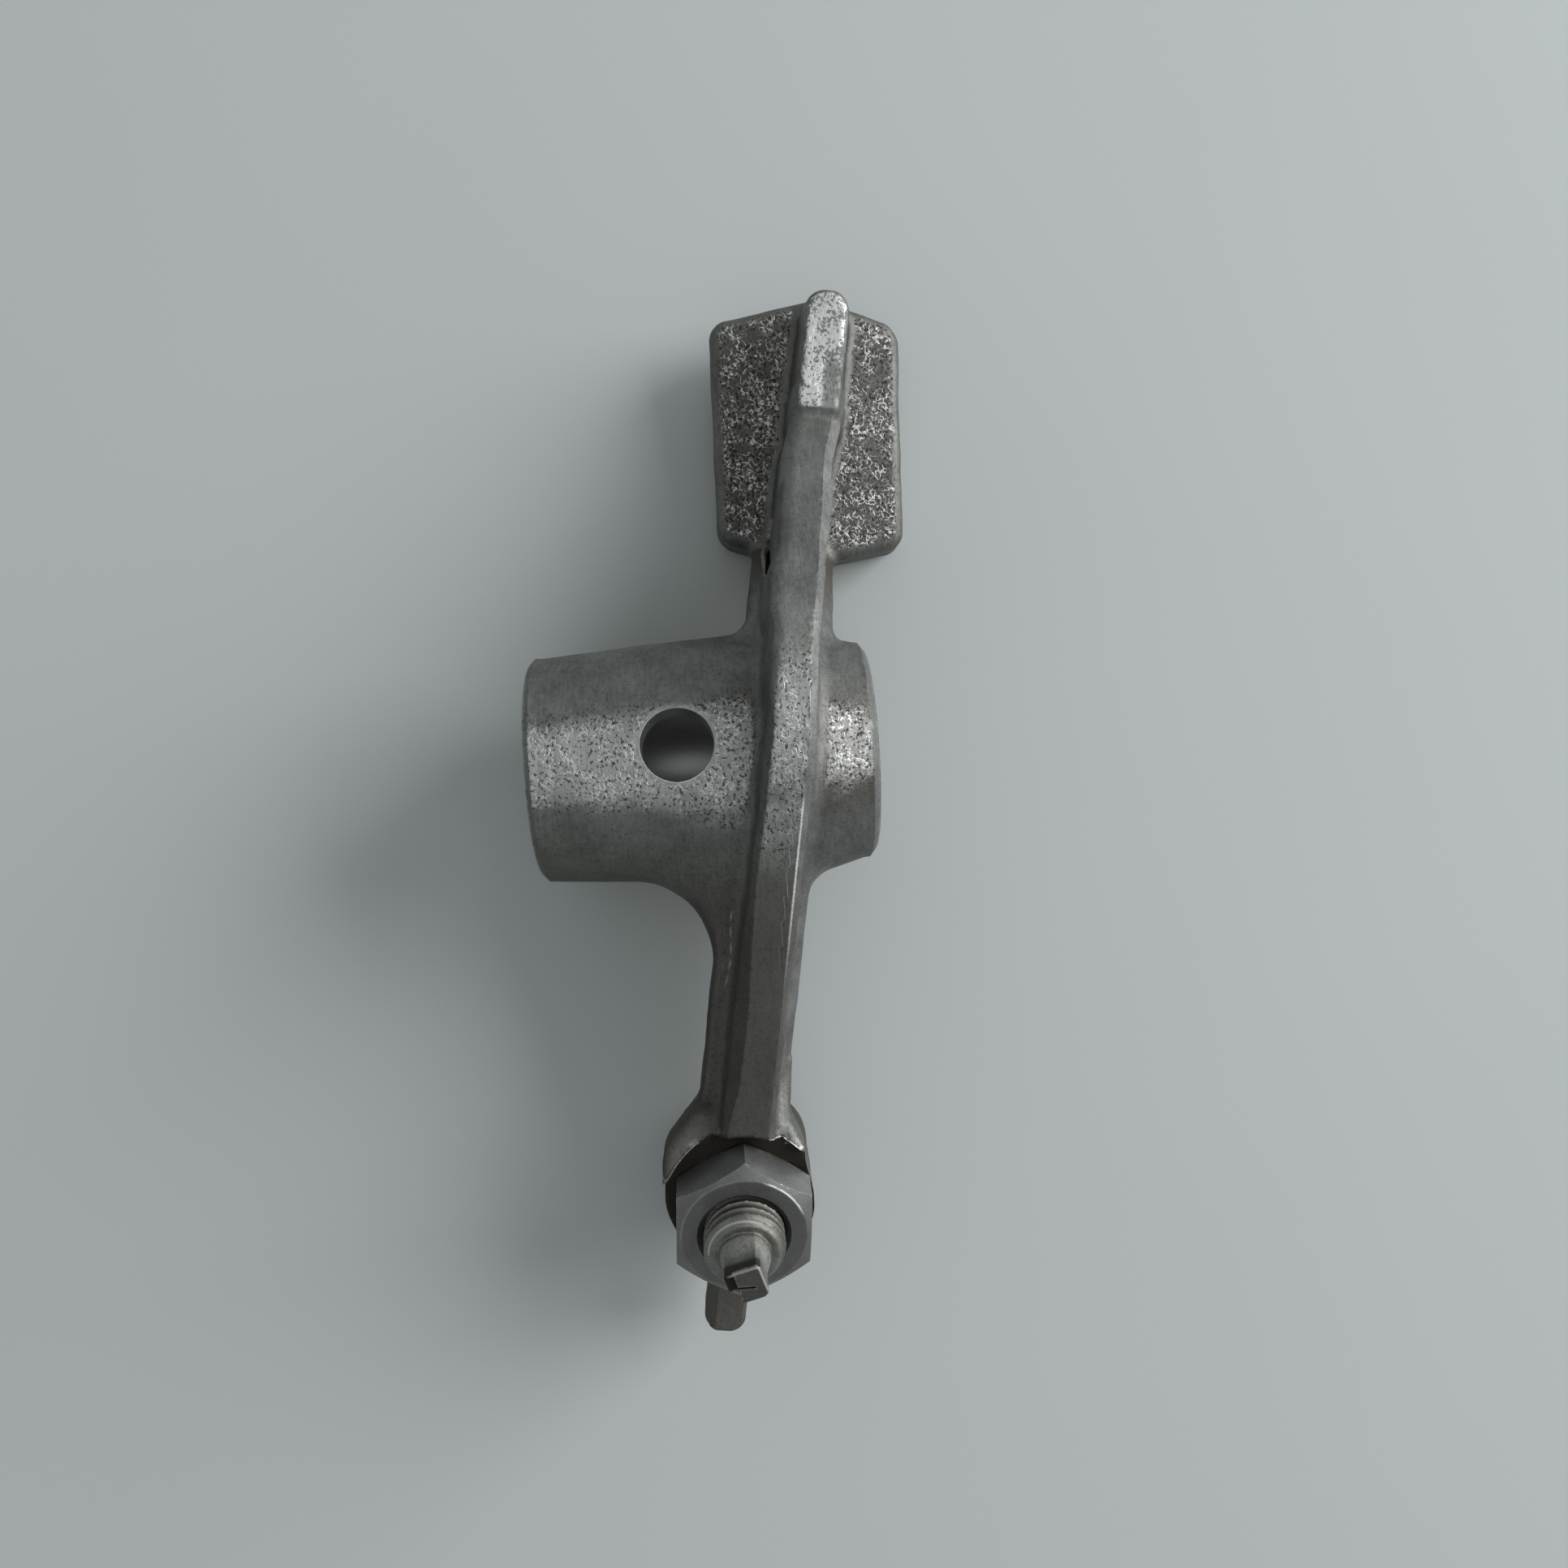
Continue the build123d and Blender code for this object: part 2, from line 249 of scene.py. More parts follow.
def rounded_slot(u: Array, v: Array, corner: Union[float, Array]) -> Array:
    """Measures to a rectangle with rounded corners.

    Args:
        u: Distance beyond its ends.
        v: Distance beyond its sides.
        corner: Corner radius, one number or one for each point.

    Returns:
        Distance, negative inside.
    """
    u, v = u + corner, v + corner
    return np.hypot(np.maximum(u, 0), np.maximum(v, 0)) + np.minimum(np.maximum(u, v), 0) - corner


@dataclass(frozen=True)
class Skin:
    """A closed surface found in a distance field."""

    points: Array
    normals: Array
    quads: Array


@dataclass(frozen=True)
class Skinner:
    """Wraps a distance field in quads that keep its sharp edges."""

    pitch: float
    refinements: int = 3
    probe: float = 0.01
    pull: float = 0.05

    def skin(self, field: Field, low: Array, high: Array) -> Skin:
        """Finds the surface inside a box.

        Args:
            field: The distance field.
            low: Lowest corner of the box.
            high: Highest corner of the box.

        Returns:
            The closed surface.
        """
        counts = np.ceil((high - low) / self.pitch).astype(int) + 1
        axes = [low[i] + self.pitch * np.arange(counts[i]) for i in range(3)]
        values = np.empty(counts)
        for i, x in enumerate(axes[0]):
            y, z = np.meshgrid(axes[1], axes[2], indexing="ij")
            slab = np.stack([np.full(y.size, x), y.ravel(), z.ravel()], 1)
            values[i] = field(slab).reshape(y.shape)
        found = [self._crossings(field, values, axis, low) for axis in range(3)]
        cells, hits, flips = (np.concatenate(part) for part in zip(*found))
        return self._join(field, cells, hits, flips, low, counts)

    def _crossings(
        self, field: Field, values: Array, axis: int, low: Array
    ) -> tuple[Array, Array, Array]:
        """Finds where the grid's edges along one axis cross the surface.

        Args:
            field: The distance field.
            values: The field at each grid point.
            axis: Direction of the edges.
            low: Place of the first grid point.

        Returns:
            The four cells round each edge, the crossing, and whether its face is turned over.
        """
        size = values.shape[axis] - 1
        here = np.take(values, range(size), axis)
        there = np.take(values, range(1, size + 1), axis)
        start = np.argwhere((here < 0) != (there < 0))
        key = tuple(start.T)
        a, b = here[key], there[key]
        lower, upper = np.zeros(len(a)), np.ones(len(a))
        step = np.zeros(3)
        step[axis] = self.pitch
        origin = low + start * self.pitch
        share = a / (a - b)
        for _ in range(self.refinements):
            value = field(origin + share[:, None] * step)
            same = (value < 0) == (a < 0)
            lower, a = np.where(same, share, lower), np.where(same, value, a)
            upper, b = np.where(same, upper, share), np.where(same, b, value)
            share = lower + (upper - lower) * a / (a - b)
        side, up = (axis + 1) % 3, (axis + 2) % 3
        ring = []
        for first, second in ((0, 0), (-1, 0), (-1, -1), (0, -1)):
            cell = start.copy()
            cell[:, side] += first
            cell[:, up] += second
            ring.append(cell)
        return np.stack(ring, 1), origin + share[:, None] * step, here[key] >= 0

    def gradient(self, field: Field, points: Array) -> Array:
        """Finds the field's direction at points.

        Args:
            field: The distance field.
            points: Where to look.

        Returns:
            Unit vectors that point out of the body.
        """
        slopes = []
        for axis in range(3):
            step = np.zeros(3)
            step[axis] = self.probe
            slopes.append(field(points + step) - field(points - step))
        found = np.stack(slopes, 1)
        return found / np.maximum(np.linalg.norm(found, axis=1, keepdims=True), TINY)

    def _join(
        self, field: Field, cells: Array, hits: Array, flips: Array, low: Array, counts: Array
    ) -> Skin:
        """Sets one corner in each crossed cell and joins them into quads.

        Args:
            field: The distance field.
            cells: The four cells round each crossing.
            hits: The crossings.
            flips: Whether each crossing's face is turned over.
            low: Place of the first grid point.
            counts: Grid points along each axis.

        Returns:
            The closed surface.
        """
        normals = self.gradient(field, hits)
        flat = (cells[..., 0] * counts[1] + cells[..., 1]) * counts[2] + cells[..., 2]
        names, place = np.unique(flat.ravel(), return_inverse=True)
        place = place.reshape(-1)
        size = len(names)
        each_hit = np.repeat(hits, 4, 0)
        each_normal = np.repeat(normals, 4, 0)
        number = np.bincount(place, minlength=size)
        middle = np.stack([np.bincount(place, each_hit[:, i], size) for i in range(3)], 1)
        middle /= number[:, None]
        offset = np.einsum("ij,ij->i", each_normal, each_hit - middle[place])
        matrix = np.empty((size, 3, 3))
        right = np.empty((size, 3))
        for i in range(3):
            right[:, i] = np.bincount(place, each_normal[:, i] * offset, size)
            for j in range(3):
                matrix[:, i, j] = np.bincount(place, each_normal[:, i] * each_normal[:, j], size)
        matrix += self.pull * np.eye(3) * number[:, None, None] / 4
        shift = np.linalg.solve(matrix, right[..., None])[..., 0]
        floor = low + np.stack(np.unravel_index(names, counts), 1) * self.pitch
        points = np.clip(middle + shift, floor, floor + self.pitch)
        quads = place.reshape(-1, 4)
        quads = np.where(flips[:, None], quads[:, ::-1], quads)
        return Skin(points, self.gradient(field, points), quads)


def build_mesh(
    name: str, skin: Skin, marks: dict[str, Array], sharp_degrees: float
) -> bpy.types.Object:
    """Makes a Blender object from a surface.

    Args:
        name: Name of the piece.
        skin: The surface, in millimetres.
        marks: Named values for each point, for the finish to read.
        sharp_degrees: Angle above which an edge is shaded as sharp.

    Returns:
        The object, at the scene's origin.
    """
    mesh = bpy.data.meshes.new(name)
    mesh.from_pydata((skin.points * MILLIMETRE).tolist(), [], skin.quads.tolist())
    for mark, values in marks.items():
        layer = mesh.attributes.new(mark, "FLOAT", "POINT")
        layer.data.foreach_set("value", values.astype(np.float32))
    mesh.shade_smooth()
    mesh.set_sharp_from_angle(angle=math.radians(sharp_degrees))
    mesh.update()
    piece = bpy.data.objects.new(name, mesh)
    bpy.context.scene.collection.objects.link(piece)
    return piece


# Shading


class Wire:
    """A shader socket that takes part in arithmetic."""

    def __init__(self, graph: "Graph", socket: bpy.types.NodeSocket) -> None:
        """Keeps the socket and the graph that it belongs to."""
        self.graph = graph
        self.socket = socket

    def _math(self, operation: str, *values: Value) -> "Wire":
        """Adds one Math node."""
        return self.graph.node("ShaderNodeMath", {"operation": operation}, dict(enumerate(values)))

    def __add__(self, other: Value) -> "Wire":
        """Adds."""
        return self._math("ADD", self, other)

    def __radd__(self, other: Value) -> "Wire":
        """Adds, with the wire on the right."""
        return self._math("ADD", other, self)

    def __sub__(self, other: Value) -> "Wire":
        """Subtracts."""
        return self._math("SUBTRACT", self, other)

    def __rsub__(self, other: Value) -> "Wire":
        """Subtracts, with the wire on the right."""
        return self._math("SUBTRACT", other, self)

    def __mul__(self, other: Value) -> "Wire":
        """Multiplies."""
        return self._math("MULTIPLY", self, other)

    def __rmul__(self, other: Value) -> "Wire":
        """Multiplies, with the wire on the right."""
        return self._math("MULTIPLY", other, self)

    def __abs__(self) -> "Wire":
        """Drops the sign."""
        return self._math("ABSOLUTE", self)

    def limited(self, low: Value, high: Value) -> "Wire":
        """Keeps the value between two limits."""
        return self._math("MINIMUM", self._math("MAXIMUM", self, low), high)

    def rise(self, start: float, end: float) -> "Wire":
        """Rises smoothly from 0 at the start value to 1 at the end value."""
        settings = {"interpolation_type": "SMOOTHSTEP"}
        return self.graph.node("ShaderNodeMapRange", settings, {0: self, 1: start, 2: end})


class Graph:
    """One material's node tree."""

    def __init__(self, name: str) -> None:
        """Starts a material with a Principled shader and an output.

        Args:
            name: Name of the material.
        """
        self.material = bpy.data.materials.new(name)
        self.material.use_nodes = True
        self.tree = self.material.node_tree
        self.tree.nodes.clear()
        self.shader = self.tree.nodes.new("ShaderNodeBsdfPrincipled")
        output = self.tree.nodes.new("ShaderNodeOutputMaterial")
        self.tree.links.new(self.shader.outputs[0], output.inputs[0])

    def node(
        self, kind: str, settings: dict[str, Any], values: dict[Socket, Any], output: Socket = 0
    ) -> Wire:
        """Adds one node.

        Args:
            kind: The node's type.
            settings: Its properties, set first.
            values: Values or wires of its inputs, by name or number.
            output: The output to return, by name or number.

        Returns:
            The chosen output.
        """
        made = self.tree.nodes.new(kind)
        for key, setting in settings.items():
            setattr(made, key, setting)
        for key, value in values.items():
            self.put(made.inputs[key], value)
        return Wire(self, made.outputs[output])

    def put(self, place: bpy.types.NodeSocket, value: Any) -> None:
        """Feeds a socket with a wire or sets its value.

        Args:
            place: The socket.
            value: A wire, a number or a colour.
        """
        if isinstance(value, Wire):
            self.tree.links.new(value.socket, place)
        else:
            place.default_value = value

    def feed(self, name: str, value: Any) -> None:
        """Feeds one socket of the Principled shader."""
        self.put(self.shader.inputs[name], value)

    def mark(self, name: str) -> Wire:
        """Reads a named value of the mesh."""
        return self.node("ShaderNodeAttribute", {"attribute_name": name}, {}, "Fac")

    def place(self, stretch: tuple[float, float, float] = (1, 1, 1)) -> Wire:
        """Reads the point's place on the part, in millimetres.

        Args:
            stretch: Factor along each axis.

        Returns:
            The place as a vector.
        """
        where = self.node("ShaderNodeTexCoord", {}, {}, "Object")
        factor = tuple(s / MILLIMETRE for s in stretch)
        return self.node("ShaderNodeVectorMath", {"operation": "MULTIPLY"}, {0: where, 1: factor})

    def noise(self, where: Wire, per_millimetre: float, detail: float = 3.0, rough: float = 0.55) -> Wire:
        """Adds noise of a given fineness.

        Args:
            where: The place that it is read at.
            per_millimetre: Waves in a millimetre.
            detail: Octaves.
            rough: How much the finer octaves count.

        Returns:
            A value near 0.5.
        """
        values = {"Vector": where, "Scale": per_millimetre, "Detail": detail, "Roughness": rough}
        return self.node("ShaderNodeTexNoise", {}, values)

    def threads(self, where: Wire, per_millimetre: float, width: float) -> Wire:
        """Adds a network of thin curling lines.

        Args:
            where: The place that it is read at.
            per_millimetre: Waves in a millimetre.
            width: How far from the middle of the noise the lines reach.

        Returns:
            1 on the lines and 0 between them.
        """
        return 1 - abs(self.noise(where, per_millimetre, 1.5, 0.5) - 0.5).rise(width * 0.3, width)

    def blend(self, share: Value, first: Any, second: Any) -> Wire:
        """Mixes two colours.

        Args:
            share: How much of the second.
            first: Colour at 0.
            second: Colour at 1.

        Returns:
            The mixed colour.
        """
        return self.node("ShaderNodeMix", {"data_type": "RGBA"}, {0: share, 6: first, 7: second}, 2)

    def glint_and_scar_line(self) -> Wire:
        """Draws the mesh's thin bright lines: painted glints on edges, and scars.

        Returns:
            How bright each point is made by its line, 0 to 1.
        """
        stroke = 1 - abs(self.mark("line_offset") - LINE_REACH).rise(*LINE_WIDTH)
        return stroke * self.mark("line")

    def relief(self, height: Wire, depth: float) -> None:
        """Raises the surface.

        Args:
            height: Height from 0 to 1.
            depth: What a height of 1 is worth, in millimetres.
        """
        values = {"Strength": 1.0, "Distance": depth * MILLIMETRE, "Height": height}
        self.feed("Normal", self.node("ShaderNodeBump", {}, values))


@dataclass(frozen=True)
class ForgedSteel:
    """Tumbled dark forging: matt skin, pits, bright worn high spots, bare machined faces, painted shade, a
    painted highlight on the rib's crest and painted glints on edges.
    """

    skin_dark: Colour = (0.13, 0.134, 0.13, 1)
    skin_light: Colour = (0.25, 0.256, 0.247, 1)
    # Warm near-black: painted shade low down, towards the valve end, in the nut seat and on the boss's right
    # end, and a darker tone on the worn zones
    warm_tone_and_shade: Colour = (0.1, 0.089, 0.077, 1)
    # Bright metal: real worn spots, and the painted highlight on the rib's crest
    rubbed: Colour = (0.74, 0.75, 0.74, 1)
    bare: Colour = (0.42, 0.425, 0.42, 1)
    ground: Colour = (0.92, 0.93, 0.93, 1)
    pit: Colour = (0.03, 0.03, 0.027, 1)
    # Painted shade with dirt: near-black laid into hollows, creases and recesses
    grime_and_shade: Colour = (0.022, 0.019, 0.015, 1)
    # Waves in a millimetre, from the broadest noise to the finest
    cloud_waves: float = 0.3
    patch_waves: float = 0.75
    curl_waves: float = 1.95
    grain_waves: float = 2.2
    crumb_waves: float = 4.6
    fine_waves: float = 7.0
    curl_width: float = 0.042
    roughness: float = 0.63
    relief: float = 0.05

    def material(self) -> bpy.types.Material:
        """Builds the material.

        Returns:
            The finished material.
        """
        graph = Graph("forged_steel")
        where = graph.place()
        cloud = graph.noise(where, self.cloud_waves, 4)
        grain = graph.noise(where, self.grain_waves, 3)
        fine = graph.noise(where, self.fine_waves, 2)
        crumb = graph.noise(graph.place((1, 0.8, 1)), self.crumb_waves, 2, 0.6)
        drawn = graph.noise(graph.place((4.0, 0.5, 1)), 1.0, 3)
        patch = graph.noise(where, self.patch_waves, 2)
        rubbed_zone, ground, bare = graph.mark("rubbed"), graph.mark("ground"), graph.mark("bare")
        edge, hollow_dirt_and_shade = graph.mark("edge"), graph.mark("hollow_dirt_and_shade")
        low, crest = graph.mark("low"), graph.mark("crest")
        tone = cloud.rise(0.3, 0.7) * 0.5 + grain.rise(0.3, 0.7) * 0.25 + drawn.rise(0.35, 0.65) * 0.25
        base = graph.blend(tone.limited(0, 1), self.skin_dark, self.skin_light)
        # Painted shade: the low mark darkens the underside, the valve end's left side, the nut seat and the
        # top of the boss's right end
        base = graph.blend(low * (0.6 + 0.5 * cloud), base, self.warm_tone_and_shade)
        base = graph.blend(rubbed_zone * (1 - crest) * 0.5, base, self.warm_tone_and_shade)
        # Painted highlight on the rib's crest, mixed with the wear there
        base = graph.blend(crest * 0.5 * (0.3 + drawn), base, self.rubbed)
        curls = graph.threads(where, self.curl_waves, self.curl_width)
        curls = curls * (0.15 + 0.85 * patch.rise(0.38, 0.58))
        crumbs = crumb.rise(0.57, 0.68) * patch.rise(0.34, 0.6)
        spots = (curls * 0.85 + crumbs * 0.6).limited(0, 1) * rubbed_zone
        pits = (1 - crumb.rise(0.36, 0.44)) * (0.3 + 0.7 * rubbed_zone.rise(0.0, 0.3)) * (1 - bare)
        base = graph.blend(spots * 0.95, base, self.rubbed)
        base = graph.blend(pits * 0.8, base, self.pit)
        worn = edge.rise(0.25, 0.8) * (0.3 + 0.7 * fine.rise(0.35, 0.6)) * 0.5
        base = graph.blend(worn.limited(0, 1), base, self.bare)
        base = graph.blend(bare * 0.9, base, self.bare)
        polish = ground * (0.1 + 0.9 * (crumb + patch * 0.5).rise(0.66, 0.78))
        base = graph.blend(polish.limited(0, 1), base, self.ground)
        # Painted shade with dirt in hollows, creases and recesses
        base = graph.blend(hollow_dirt_and_shade.rise(0.25, 1.0) * 0.8, base, self.grime_and_shade)
        # Painted glints on edges, with real scars, in the ground colour
        glints_and_scars = graph.glint_and_scar_line() * (0.5 + 0.5 * fine.rise(0.35, 0.55))
        base = graph.blend(glints_and_scars.limited(0, 1), base, self.ground)
        graph.feed("Base Color", base)
        graph.feed("Metallic", 1.0)
        rough = self.roughness - spots * 0.14 - polish * 0.28 - bare * 0.34 - glints_and_scars * 0.2
        rough = rough + hollow_dirt_and_shade * 0.15 + pits * 0.1
        graph.feed("Roughness", rough.limited(0.2, 0.8))
        height = (grain * 0.4 + fine * 0.2 + spots * 0.35 - pits * 0.5 + drawn * 0.2) * (1 - bare * 0.8)
        graph.relief(height + ground * patch * 1.5, self.relief)
        return graph.material


@dataclass(frozen=True)
class TurnedSteel:
    """Machined steel with fine lathe marks: the screw and the nut."""

    name: str
    dark: Colour
    light: Colour
    # Bright metal: worn edges, and the painted highlight and glints
    rubbed: Colour
    roughness: float
    # Painted shade with dirt: near-black for hollows and for the darker, rougher top faces
    grime_and_shade: Colour = (0.016, 0.015, 0.012, 1)
    cloud_waves: float = 0.5
    crumb_waves: float = 3.2
    grain_waves: float = 5.0
    relief: float = 0.014

    def material(self) -> bpy.types.Material:
        """Builds the material.

        Returns:
            The finished material.
        """
        graph = Graph(self.name)
        where = graph.place()
        cloud = graph.noise(where, self.cloud_waves, 4)
        grain = graph.noise(where, self.grain_waves, 3)
        crumb = graph.noise(where, self.crumb_waves, 2, 0.6)
        edge, hollow_dirt_and_shade = graph.mark("edge"), graph.mark("hollow_dirt_and_shade")
        darker_rougher_top, bright = graph.mark("darker_rougher_top"), graph.mark("bright")
        tone = (cloud.rise(0.3, 0.7) * 0.6 + grain.rise(0.3, 0.7) * 0.4).limited(0, 1)
        base = graph.blend(tone, self.dark, self.light)
        # Darkened towards the near-black on the screw's drive end and the nut's up-facing faces
        base = graph.blend(darker_rougher_top * 0.5, base, self.grime_and_shade)
        worn = (edge.rise(0.2, 0.7) * (0.4 + 0.6 * grain.rise(0.35, 0.6))).limited(0, 1)
        worn = worn * (1 - darker_rougher_top * 0.5)
        base = graph.blend(worn * 0.7, base, self.rubbed)
        # Painted highlight on the screw's domed root
        shine = (bright * (0.55 + 0.45 * crumb.rise(0.4, 0.55))).limited(0, 1)
        base = graph.blend(shine, base, self.rubbed)
        # Painted glints on edges
        base = graph.blend(graph.glint_and_scar_line(), base, self.rubbed)
        # Painted shade with dirt in hollows and recesses
        base = graph.blend(hollow_dirt_and_shade.rise(0.2, 0.9) * 0.85, base, self.grime_and_shade)
        graph.feed("Base Color", base)
        graph.feed("Metallic", 1.0)
        rough = self.roughness - worn * 0.12 + grain * 0.1 + darker_rougher_top * 0.1
        graph.feed("Roughness", rough.limited(0.15, 0.8))
        graph.relief(grain * 0.7 + crumb * 0.3, self.relief)
        return graph.material


# The pieces


def wear(distance: Field, skin: Skin, reach: float, depth: float) -> dict[str, Array]:
    """Finds a surface's hollows, where dirt stays and shade is painted, and its edges, where it is worn.

    Args:
        distance: The piece's distance field.
        skin: The piece's surface.
        reach: How far outside the surface the field is read to find hollows.
        depth: How far inside the surface an edge is looked for.

    Returns:
        The mark of hollows, which carries painted shade and dirt, and the edge mark, 0 to 1 for each point.
    """
    hollow_dirt_and_shade = np.clip(1 - distance(skin.points + skin.normals * reach) / reach, 0, 1)
    edge = np.clip(1 + distance(skin.points - skin.normals * depth) / depth, 0, 1)
    return {"hollow_dirt_and_shade": hollow_dirt_and_shade, "edge": edge}


def install(piece: bpy.types.Object, material: bpy.types.Material, node: str, body: str) -> None:
    """Dresses a piece and sets it on its body in place of its solid.

    Args:
        piece: The piece.
        material: Its material.
        node: The solid that it stands for.
        body: The body that it rides on.
    """
    piece.data.materials.append(material)
    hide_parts(node)
    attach(piece, body)


def skin_box(node: str, margin: float) -> tuple[Array, Array]:
    """Finds the box in which a piece's surface is looked for.

    Args:
        node: The solid that the piece stands for.
        margin: Room round it, in millimetres.

    Returns:
        Lowest and highest corners, in millimetres.
    """
    low, high = (np.array(corner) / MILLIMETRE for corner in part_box(node))
    return low - margin, high + margin


@dataclass
class ScrewAxis:
    """Where the screw stands: the centre of the nut seat and the tilt of its axis."""

    seat: tuple[float, float, float] = (0.7, -34.1, 0.25)
    tilt: float = 19.0

    def local(self, points: Array) -> tuple[Array, Array, Array, Array]:
        """Turns points into the screw's own coordinates.

        Args:
            points: Points on the part.

        Returns:
            Right, forward, height above the nut seat, and distance from the axis.
        """
        right, y, z = (points - np.array(self.seat)).T
        forward, height = turned(y, z, self.tilt)
        return right, forward, height, np.hypot(right, forward)


@dataclass
class SkinnedPiece:
    """A piece of the part, skinned from a distance field and set on its body."""

    NAME: ClassVar[str]
    NODE: ClassVar[str]
    BODY: ClassVar[str]
    SLOT: ClassVar[str]
    SHARP_DEGREES: ClassVar[float]
    MARGIN: ClassVar[float] = 0.4

    axis: ScrewAxis
    pitch: float = 0.2

    def distance(self, points: Array) -> Array:
        """Measures to the piece, negative inside."""
        raise NotImplementedError

    def marks(self, skin: Skin) -> dict[str, Array]:
        """Finds the named values that the piece's finish reads, for each point."""
        raise NotImplementedError

    def material(self) -> bpy.types.Material:
        """Builds the piece's finish."""
        raise NotImplementedError

    def build(self) -> bpy.types.Object:
        """Makes the piece and dresses it.

        Returns:
            The piece, riding on its body.
        """
        skin = Skinner(self.pitch).skin(self.distance, *skin_box(self.NODE, self.MARGIN))
        piece = build_mesh(self.NAME, skin, self.marks(skin), self.SHARP_DEGREES)
        install(piece, self.material(), self.NODE, self.BODY)
        return piece


